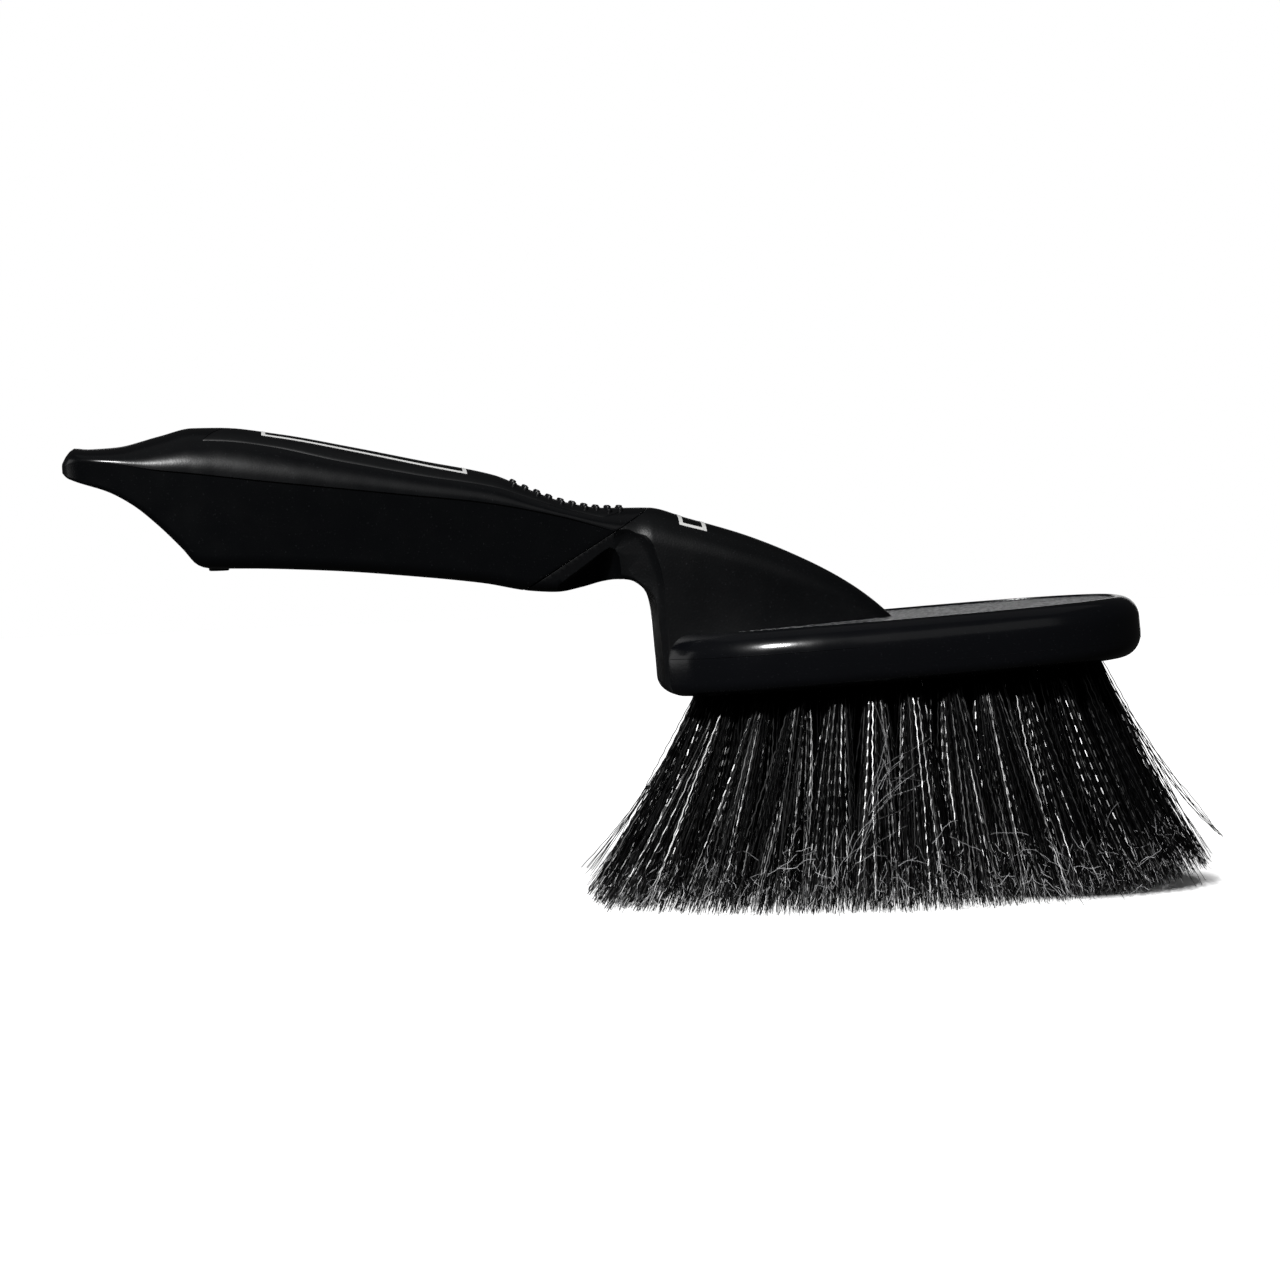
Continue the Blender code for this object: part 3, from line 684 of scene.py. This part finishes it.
def make_band(rubber):
    """The soft rim: its section carried round the oval, and open at the heel."""
    rings = []
    for angle in band_angles(BAND_STATIONS, BAND_END_Y):
        edge, outward = oval_point(angle), oval_normal(angle)
        spots = [(edge - outward * inset, height) for inset, height in band_profile(angle)]
        rings.append([(spot.x, spot.y, height) for spot, height in spots])
    band = finish_piece("rim_band", place_on_head(loft(rings)), rubber, ["head_bumper"])
    room = bmesh.new()
    bmesh.ops.create_cube(room, size=1.0)
    bmesh.ops.scale(room, vec=BAND_ROOM, verts=room.verts)
    bmesh.ops.translate(room, vec=(HEEL_FLAT, 0.0, HEAD_BOTTOM), verts=room.verts)
    boolean(band, "DIFFERENCE", tool_object(room))


def mould_line(name, height, from_x, to_x, rubber):
    """A thin raised line that the split of the mould leaves on the near and far side of the band."""
    joined = bmesh.new()
    angles = [a for a in band_angles(MOULD_LINE_STATIONS, MOULD_LINE_END_Y)
              if from_x <= oval_point(a).x <= to_x]
    for side in (-1, 1):
        rings = []
        for angle in (a for a in angles if a * side > 0):
            edge, outward = oval_point(angle), oval_normal(angle)
            ring = []
            for k in range(6):
                a = 2 * math.pi * k / 6
                spot = edge + outward * (MOULD_LINE_RADIUS * math.cos(a))
                ring.append((spot.x, spot.y, height + MOULD_LINE_RADIUS * math.sin(a)))
            rings.append(ring)
        add_part(joined, place_on_head(loft(rings)))
    finish_piece(name, joined, rubber)


# -------- bristles

def even_angles(half_length, half_width, count):
    """Angles that put count points round an ellipse at even distances, astride the +X axis."""
    turns = [2 * math.pi * k / 720 for k in range(721)]
    spots = [Vector((half_length * math.cos(a), half_width * math.sin(a))) for a in turns]
    lengths = lengths_along(spots)
    wanted = [lengths[-1] * (k + 0.5) / count for k in range(count)]
    return [min(zip(lengths, turns, strict=True), key=lambda row: abs(row[0] - w))[1] for w in wanted]


def tuft_places():
    """(name, entry into the block's underside, centre of the tips) of each tuft, in the plan."""
    places = []

    def ring(label, count, root, tips):
        for k, a in enumerate(even_angles(*root, count)):
            c, s = math.cos(a), math.sin(a)
            places.append((f"{label}_{k + 1:02d}", (root[0] * c, root[1] * s), (tips[0] * c, tips[1] * s)))

    ring("outer", OUTER_RING[0], OUTER_RING[1:], OUTER_TIPS)
    ring("inner", INNER_RING[0], INNER_RING[1:], INNER_TIPS)
    count, reach = MIDDLE_ROW
    for k in range(count):
        share = 2.0 * k / (count - 1) - 1.0
        places.append((f"middle_{k + 1:02d}", (share * reach, 0.0), (share * MIDDLE_TIPS, 0.0)))
    return places


def tuft_ends(entry, tip):
    """Where a tuft leaves the block's tilted underside, and the middle of its tips on the floor."""
    top = Vector((entry[0], entry[1], HEAD_BOTTOM + entry[0] * math.tan(HEAD_TILT)))
    return top, Vector((tip[0], tip[1], 0.0))


def tuft_axis(entry, tip):
    """Where a tuft leaves the block, its direction, and the turn that brings Z into it."""
    top, foot = tuft_ends(entry, tip)
    axis = (foot - top).normalized()
    return top, axis, axis.to_track_quat("Z", "X").to_matrix().to_4x4()


def grow_together(strands, radii, sides=3):
    """Closed thin tubes that grow side by side. Each first end is a face, and each step extrudes
    them all at once. A strand is its list of points, and radii are the same for all of them."""
    bm = bmesh.new()
    mark = bm.verts.layers.int.new("corner")
    frames = []
    for number, points in enumerate(strands):
        along = (points[-1] - points[0]).normalized()
        first = along.orthogonal().normalized()
        second = along.cross(first)
        turns = [first * math.cos(a) + second * math.sin(a)
                 for a in (2 * math.pi * k / sides + number for k in range(sides))]
        frames.append(turns)
        corners = []
        for k in range(sides):
            vert = bm.verts.new(points[0] + turns[k] * radii[0])
            vert[mark] = number * sides + k
            corners.append(vert)
        bm.faces.new(corners)
    ends = bm.faces[:]
    for step in range(1, len(radii)):
        grown = bmesh.ops.extrude_face_region(bm, geom=ends, use_keep_orig=step == 1)["geom"]
        ends = [part for part in grown if isinstance(part, bmesh.types.BMFace)]
        for part in grown:
            if isinstance(part, bmesh.types.BMVert):
                number, k = divmod(part[mark], sides)
                part.co = strands[number][step] + frames[number][k] * radii[step]
    bmesh.ops.recalc_face_normals(bm, faces=bm.faces)
    return bm


def finish_bristles(name, strands, radii, finish, replaces=()):
    """Strands become a piece of filaments."""
    finish_piece(name, grow_together(strands, radii), finish, replaces, FILAMENT_SMOOTH_ANGLE)


def thinning(radius, segments, loss=0.35, power=6):
    """The radii along a filament that loses a share of its thickness towards the tip."""
    return [radius * (1.0 - loss * (k / segments) ** power) for k in range(segments + 1)]


def crimped_strand(root, tip, flare, segments, phase, plane, rng):
    """A filament from root to tip: nearly straight, flared near the tip, with a zigzag crimp."""
    along = tip - root
    bow = Vector((rng.gauss(0, BOW_SCATTER), rng.gauss(0, BOW_SCATTER), 0))
    points = []
    for k in range(segments + 1):
        t = ramp(k + (phase if 0 < k < segments else 0.0), segments)
        level = t + flare * t * (t - 1.0)
        spot = Vector((root.x + along.x * level, root.y + along.y * level, root.z + along.z * t))
        zig = CRIMP_HEIGHT * (1 if k % 2 else -1) * min(1.0, 6 * t)
        points.append(spot + plane * zig + bow * math.sin(math.pi * t)
                      + Vector((rng.gauss(0, POINT_SCATTER), rng.gauss(0, POINT_SCATTER), 0)))
    return points


def tip_height(root, reach):
    """A strand that leans far out ends above the trimmed level of the others."""
    drop = math.sqrt(max(0.0, FREE_LENGTH**2 - reach**2))
    return max(0.0, root.z - drop)


def tuft_strands(entry, tip, count, segments, rng):
    """The filaments of one tuft: packed in the hole, fanned, and trimmed nearly level at the tips."""
    top, foot = tuft_ends(entry, tip)
    up = (top - foot).normalized()
    outward = Vector((foot.x - top.x, foot.y - top.y, 0))
    lean = outward.length / 20.0
    outward.normalize()
    strands = []
    in_step = rng.random() < IN_STEP_SHARE
    shared = rng.uniform(-SHARED_PHASE, SHARED_PHASE)
    for _ in range(count):
        turn, reach = rng.uniform(0, 2 * math.pi), math.sqrt(rng.random())
        aside = Vector((math.cos(turn), math.sin(turn), 0))
        root = top + aside * ROOT_SPREAD * reach + up * ROOT_DEPTH
        spread = TIP_SPREAD * reach**0.9 * rng.uniform(0.7, 1.2)
        leaning = outward * (abs(rng.gauss(0, LEANING_REACH)) if rng.random() < LEANING_SHARE else 0.0)
        end = (foot + aside * spread + leaning
               + Vector((rng.gauss(0, TIP_SCATTER), rng.gauss(0, TIP_SCATTER), 0)))
        over = (end - foot).dot(outward) - FARTHEST_REACH
        end -= outward * max(0.0, over) * PULLED_BACK
        end.z = (tip_height(top, (end - top).xy.length) + abs(rng.gauss(0, 0.8))
                 + 2.5 * rng.random() ** 5)
        turned = rng.uniform(0, math.pi)
        crimp_plane = Vector((math.cos(turned), math.sin(turned), 0.0))
        phase = shared + rng.gauss(0, IN_STEP_SCATTER if in_step else OUT_OF_STEP_SCATTER)
        phase = max(-LARGEST_PHASE, min(LARGEST_PHASE, phase))
        flare = 0.28 * lean + rng.gauss(0, 0.1)
        strands.append(crimped_strand(root, end, flare, segments, phase, crimp_plane, rng))
    return strands


def curly_hair(start, heading, length, segments, rng, wander=0.26):
    """One fine split end that wanders from the side of a filament."""
    points = [start]
    heading = heading.normalized()
    for _ in range(segments):
        heading = (heading + Vector([rng.gauss(0, wander) for _ in range(3)])).normalized()
        spot = points[-1] + heading * length / segments
        spot.z = max(0.15, spot.z)
        points.append(spot)
    return points


def make_tufts(nylon, split_nylon):
    """Every tuft, filament by filament, and the split ends near their tips."""
    rng = random.Random(11)
    hairs = {"front": [], "back": [], "middle": []}
    for name, entry, tip in tuft_places():
        outer = name.startswith("outer")
        count = OUTER_STRANDS if outer else INNER_STRANDS
        segments = OUTER_SEGMENTS if outer else INNER_SEGMENTS
        if outer and tip[0] < 0:
            tip = (tip[0] * (1.0 + HEEL_FLARE * (tip[0] / OUTER_TIPS[0]) ** 2), tip[1])
        strands = tuft_strands(entry, tip, count, segments, rng)
        radii = thinning(FILAMENT_RADIUS, segments)
        finish_bristles(f"bristles_{name}", strands, radii, nylon, [f"tuft_{name}"])
        label = "middle" if not outer else "front" if entry[1] < 0 else "back"
        for _ in range(OUTER_SPLIT_TIPS if outer else INNER_SPLIT_TIPS):
            points = rng.choice(strands)
            k = int(segments * (1 - 0.22 * rng.random() ** 1.6)) - 1
            hairs[label].append(curly_hair(points[k], points[k + 1] - points[k - 3],
                                           rng.uniform(2.0, 7.0), SPLIT_SEGMENTS, rng))
    radii = thinning(SPLIT_RADIUS, SPLIT_SEGMENTS, 0.4, 1)
    for label, found in hairs.items():
        finish_bristles(f"split_tips_{label}", found, radii, split_nylon)


def make_strays(nylon, split_nylon):
    """Filaments that have sprung out of line: bundles at the heel and toe, and some lying across."""
    rng = random.Random(5)
    strands = []

    def stray(entry, end, count, scatter, wave):
        root = Vector((entry[0], entry[1], HEAD_BOTTOM + 1.0 + entry[0] * math.tan(HEAD_TILT)))
        for _ in range(count):
            tip = Vector([v + rng.gauss(0, scatter) for v in end])
            tip.z = max(0.3, tip.z)
            first = root + Vector((rng.gauss(0, 0.8), rng.gauss(0, 0.8), 0))
            plane = Vector((rng.gauss(0, 1), rng.gauss(0, 1), 0)).normalized()
            points = crimped_strand(first, tip, 0.25, STRAY_SEGMENTS, rng.uniform(-0.3, 0.3), plane, rng)
            turn = rng.uniform(0, 6.28)
            for k, point in enumerate(points):
                t = k / STRAY_SEGMENTS
                points[k] = point + Vector((1, 0, 0.5)) * wave * t * math.sin(turn + 9.0 * t)
            strands.append(points)

    for bundle in SPRUNG_BUNDLES:
        stray(*bundle)
    for k in range(12):  # three from each of twelve places along the front edge
        x = -44.0 + 8.0 * k
        y = -21.0 * math.sqrt(max(0.0, 1 - (x / 46.0) ** 2))
        stray((x, y), (x * 1.3 + rng.uniform(-7, 7), y - 19 + rng.gauss(0, 2), 3.0), 3, 2.0, 0.8)
    radii = thinning(FILAMENT_RADIUS, STRAY_SEGMENTS)
    finish_bristles("stray_filaments", strands, radii, nylon)

    across = []
    for _ in range(26):
        height = rng.uniform(6.0, 34.0)
        spot = Vector((rng.gauss(-24.0 + 0.5 * height, 2.0), rng.gauss(-44.0 + 0.36 * height, 0.8),
                       height))
        heading = Vector((rng.gauss(0.5, 0.3), 0.25, rng.gauss(0.8, 0.3)))
        across.append(curly_hair(spot, heading, rng.uniform(6.0, 16.0), CROSSED_SEGMENTS, rng, 0.12))
    for _ in range(44):
        x = rng.uniform(-62.0, 60.0)
        y = -44.0 * math.sqrt(max(0.0, 1 - (x / 70.0) ** 2))
        spot = Vector((x, y + rng.gauss(0, 1.5), rng.uniform(2.0, 17.0)))
        heading = Vector((rng.gauss(0, 1), rng.gauss(0, 0.2), rng.gauss(0, 0.6)))
        across.append(curly_hair(spot, heading, rng.uniform(4.0, 10.0), CROSSED_SEGMENTS, rng, 0.2))
    radii = thinning(CROSSED_RADIUS, CROSSED_SEGMENTS, 0.3, 1)
    finish_bristles("crossed_filaments", across, radii, split_nylon)


def make_staples(steel):
    """The flat wire anchors, driven into the bottom of each hole over the folded filaments."""
    bm = bmesh.new()
    for _, entry, tip in tuft_places():
        top, axis, turn = tuft_axis(entry, tip)
        bar = bmesh.ops.create_cube(bm, size=1.0)
        bmesh.ops.scale(bm, vec=STAPLE_SIZE, verts=bar["verts"])
        spot = top - axis * (HOLE_DEPTH - STAPLE_HEIGHT)
        bmesh.ops.transform(bm, matrix=Matrix.Translation(spot) @ turn, verts=bar["verts"])
    bmesh.ops.bevel(bm, geom=bm.edges[:], offset=STAPLE_BEVEL, affect="EDGES", segments=1,
                    profile=0.5, material=-1)
    finish_piece("anchor_staples", bm, steel)


# -------- materials

def linear(hex_colour):
    """An sRGB hex colour as the linear values that a shader takes."""
    values = [int(hex_colour[k:k + 2], 16) / 255 for k in (0, 2, 4)]
    return [v / 12.92 if v <= 0.04045 else ((v + 0.055) / 1.055) ** 2.4 for v in values] + [1.0]


def add_node(tree, kind, settings=None, links=None):
    """One node, with its settings and sockets set, and other nodes' outputs linked to its sockets."""
    node = tree.nodes.new(kind)
    for key, value in (settings or {}).items():
        if isinstance(key, int) or key in node.inputs:
            node.inputs[key].default_value = value
        else:
            setattr(node, key, value)
    for key, source in (links or {}).items():
        tree.links.new(source, node.inputs[key])
    return node


def new_material(name, **sockets):
    """A material with its node tree and its shader, whose sockets are set by name."""
    made = bpy.data.materials.new(name)
    made.use_nodes = True
    shader = made.node_tree.nodes["Principled BSDF"]
    for key, value in sockets.items():
        shader.inputs[key.replace("_", " ")].default_value = value
    return made, made.node_tree, shader


def noise(tree, size_mm, **settings):
    """Noise fixed to the object, with spots of about the given size."""
    place = add_node(tree, "ShaderNodeTexCoord").outputs["Object"]
    return add_node(tree, "ShaderNodeTexNoise",
                    {"Scale": 1 / (size_mm * MM), "Detail": 2.0, **settings}, {"Vector": place})


def set_ramp(node, *stops):
    """Gives a colour ramp its stops, each a position and a hex colour."""
    for element, (position, colour) in zip(node.color_ramp.elements, stops, strict=True):
        element.position, element.color = position, linear(colour)


def moulded(name, colour, dust_and_glints, roughness, grain_mm, grain_depth, wave_mm, wave_depth, specular=0.5,
            bare=0.66, speck_mm=0.45):
    """Moulded plastic or rubber: even colour with a trace of dust, fine grain, slow waviness. On the deck
    the specks are painted glints, not dust.
    """
    made, tree, shader = new_material(name, IOR=1.5, Specular_IOR_Level=specular)
    grain = noise(tree, grain_mm, Detail=3.0, Roughness=0.6)
    cloud = noise(tree, wave_mm)
    # Specks of dust, or on the deck, pale specks painted as glints.
    dust_and_glint_specks = add_node(tree, "ShaderNodeValToRGB", links={"Fac": noise(tree, speck_mm).outputs["Fac"]})
    set_ramp(dust_and_glint_specks, (bare, colour), (bare + 0.1, dust_and_glints))
    tree.links.new(dust_and_glint_specks.outputs["Color"], shader.inputs["Base Color"])
    rough = add_node(tree, "ShaderNodeMapRange",
                     {"From Min": 0.3, "From Max": 0.7, "To Min": roughness - 0.02,
                      "To Max": roughness + 0.03}, {"Value": cloud.outputs["Fac"]})
    tree.links.new(rough.outputs["Result"], shader.inputs["Roughness"])
    fine = add_node(tree, "ShaderNodeBump", {"Strength": 1.0, "Distance": grain_depth * MM},
                    {"Height": grain.outputs["Fac"]})
    slow = add_node(tree, "ShaderNodeBump", {"Strength": 1.0, "Distance": wave_depth * MM},
                    {"Height": cloud.outputs["Fac"], "Normal": fine.outputs["Normal"]})
    tree.links.new(slow.outputs["Normal"], shader.inputs["Normal"])
    return made


def filament_material(name, colour, tip_colour, roughness, worn_to_mm):
    """Extruded nylon: glossy along its side, paler and duller where the tips are split and worn. The
    worn part ends raggedly, over about a centimetre of height."""
    made, tree, shader = new_material(name, IOR=1.53)
    place = add_node(tree, "ShaderNodeTexCoord").outputs["Object"]
    parts = add_node(tree, "ShaderNodeSeparateXYZ", links={"Vector": place})
    ragged = add_node(tree, "ShaderNodeMath", {"operation": "MULTIPLY_ADD", 1: 10.0 * MM},
                      {0: noise(tree, 3.0).outputs["Fac"], 2: parts.outputs["Z"]})
    worn = add_node(tree, "ShaderNodeMapRange",
                    {"From Min": 4.0 * MM, "From Max": worn_to_mm * MM, "To Min": 1.0, "To Max": 0.0},
                    {"Value": ragged.outputs["Value"]})
    mixed = add_node(tree, "ShaderNodeMix", {"data_type": "RGBA"}, {"Factor": worn.outputs["Result"]})
    mixed.inputs["A"].default_value = linear(colour)
    mixed.inputs["B"].default_value = linear(tip_colour)
    tree.links.new(mixed.outputs["Result"], shader.inputs["Base Color"])
    rough = add_node(tree, "ShaderNodeMapRange",
                     {"From Min": 0.0, "From Max": 1.0, "To Min": roughness, "To Max": roughness + 0.2},
                     {"Value": worn.outputs["Result"]})
    tree.links.new(rough.outputs["Result"], shader.inputs["Roughness"])
    return made


def mottled(name, dark, pale, speck_mm, start, end, **sockets):
    """Two close tones of one colour in small specks: bare metal or ink."""
    made, tree, shader = new_material(name, **sockets)
    tone = add_node(tree, "ShaderNodeValToRGB", links={"Fac": noise(tree, speck_mm).outputs["Fac"]})
    set_ramp(tone, (start, dark), (end, pale))
    tree.links.new(tone.outputs["Color"], shader.inputs["Base Color"])
    return made


# -------- stage, light and camera

def make_floor():
    """A white floor that glows, but for the patch at the toe where the bristles' shadow shows."""
    bm = bmesh.new()
    bmesh.ops.create_circle(bm, cap_ends=True, segments=96, radius=FLOOR_RADIUS)
    floor = add_object("floor", as_mesh("floor", bm))
    made, tree, shader = new_material(
        "white_light_table", Base_Color=linear("f4f4f4"), Roughness=0.9, Specular_IOR_Level=0.0,
        Emission_Color=linear("ffffff"))
    place = add_node(tree, "ShaderNodeTexCoord").outputs["Object"]
    away = add_node(tree, "ShaderNodeVectorMath", {"operation": "SUBTRACT", 1: SHADOW_PATCH},
                    {0: place})
    far = add_node(tree, "ShaderNodeVectorMath", {"operation": "LENGTH"}, {0: away.outputs["Vector"]})
    glow = add_node(tree, "ShaderNodeMapRange",
                    {"From Min": PATCH_INNER, "From Max": PATCH_OUTER,
                     "To Min": PATCH_GLOW, "To Max": 1.0}, {"Value": far.outputs["Value"]})
    tree.links.new(glow.outputs["Result"], shader.inputs["Emission Strength"])
    floor.data.materials.append(made)
    floor.visible_glossy = False
    floor.visible_diffuse = False


def area_light(name, place, size, power):
    """A white rectangular lamp that the camera doesn't see."""
    light = bpy.data.lights.new(name, "AREA")
    light.shape = "RECTANGLE"
    light.size, light.size_y = size
    light.energy = power
    lamp = add_object(name, light)
    lamp.visible_camera = False
    lamp.location = place
    lamp.rotation_euler = (Vector(LAMP_AIM) - Vector(place)).to_track_quat("-Z", "Y").to_euler()


def make_light():
    """The lamps, and a room that the camera sees as white and that hardly lights the brush."""
    for lamp in LAMPS:
        area_light(*lamp)
    world = bpy.data.worlds.new("white_room")
    bpy.context.scene.world = world
    world.use_nodes = True
    tree = world.node_tree
    tree.nodes.clear()
    seen = add_node(tree, "ShaderNodeBackground", {"Color": linear("ffffff"), "Strength": 1.0})
    lit = add_node(tree, "ShaderNodeBackground", {"Color": linear("ffffff"), "Strength": ROOM_LIGHT})
    path = add_node(tree, "ShaderNodeLightPath")
    mixed = add_node(tree, "ShaderNodeMixShader", links={
        0: path.outputs["Is Camera Ray"], 1: lit.outputs[0], 2: seen.outputs[0]})
    add_node(tree, "ShaderNodeOutputWorld", links={"Surface": mixed.outputs[0]})


def make_camera():
    """The camera, turned to its heading, tipped by its pitch and rolled about its own axis."""
    camera = bpy.data.cameras.new("camera")
    camera.lens, camera.sensor_width = CAMERA_LENS, CAMERA_SENSOR
    camera.clip_start, camera.clip_end = 0.05, 50.0
    viewer = add_object("camera", camera)
    heading, pitch, roll = (math.radians(a) for a in (CAMERA_HEADING, CAMERA_PITCH, CAMERA_ROLL))
    viewer.matrix_world = (
        Matrix.Translation(CAMERA_PLACE) @ Matrix.Rotation(-heading, 4, "Z")
        @ Matrix.Rotation(math.pi / 2 + pitch, 4, "X") @ Matrix.Rotation(-roll, 4, "Z"))
    bpy.context.scene.camera = viewer


def make_brush():
    """Every piece of the brush, in its own material."""
    # Soft-touch rubber, moulded over a core in a smooth mould: a satin glow.
    soft_grip = moulded("soft_touch_rubber_sleeve", "060709", "1d1e20", roughness=0.26, grain_mm=0.45,
                        grain_depth=0.012, wave_mm=6.0, wave_depth=0.05)
    # The same rubber from an etched mould: duller, with broad highlights.
    soft_panel = moulded("soft_touch_rubber_panel", "07080a", "1e1f21", roughness=0.40, grain_mm=0.4,
                         grain_depth=0.014, wave_mm=5.0, wave_depth=0.03)
    # Bumper rubber from a polished mould: the glossiest part, with narrow highlights.
    soft_rim = moulded("bumper_rubber", "0c0d10", "202124", roughness=0.17, grain_mm=0.6,
                       grain_depth=0.006, wave_mm=9.0, wave_depth=0.05)
    # Polypropylene, injection-moulded with a fine grain that spreads the light evenly.
    rigid = moulded("moulded_polypropylene", "060709", "242528", roughness=0.40, grain_mm=0.45,
                    grain_depth=0.04, wave_mm=7.0, wave_depth=0.06, specular=0.36)
    # The same plastic from a spark-eroded face of the mould: a coarse grain bump, in a colour painted
    # paler, with pale specks as painted glints, for the light the deck catches at a grazing angle.
    # The glints are drawn 1 mm wide, which is coarser than real.
    deck_with_painted_glints = moulded("spark_eroded_polypropylene_painted_glints", "1a1b1d", "a2a3a5", roughness=0.35, grain_mm=0.5,
                      grain_depth=0.1, wave_mm=8.0, wave_depth=0.05, bare=0.47, speck_mm=1.0)
    # Nylon, extruded and crimped: near black, with a glint on each crest of the crimp.
    nylon = filament_material("crimped_nylon_filament", "060607", "0d0d0e", 0.28, 14.0)
    # The same filaments where use has split and whitened them: pale wisps.
    split = filament_material("split_nylon_tips", "b4b4b6", "f4f4f6", 0.34, 20.0)
    # Ink from a pad, laid on the moulded top: flat and even.
    ink = mottled("pad_print_ink_white", "d8d8d6", "f6f6f4", 0.5, 0.2, 0.5, Roughness=0.55)
    # Flat steel wire, drawn through a die: bright, in two close tones.
    steel = mottled("drawn_steel_wire", "8f8f8d", "c4c4c2", 0.2, 0.0, 1.0, Metallic=1.0, Roughness=0.32)
    make_grip(soft_grip)
    make_panel(soft_panel)
    make_nubs(soft_panel)
    make_gate_mark(soft_grip)
    make_body(rigid, deck_with_painted_glints)
    make_band(soft_rim)
    mould_line("band_mould_line_heel", *MOULD_LINE_HEEL, soft_rim)
    mould_line("band_mould_line_toe", *MOULD_LINE_TOE, soft_rim)
    printed_frame("panel_print_frame", *PANEL_FRAME, ink)
    printed_frame("neck_print_frame", *NECK_FRAME, ink)
    make_tufts(nylon, split)
    make_strays(nylon, split)
    make_staples(steel)


bpy.context.scene.view_settings.view_transform = "Standard"
make_floor()
make_light()
make_camera()
make_brush()
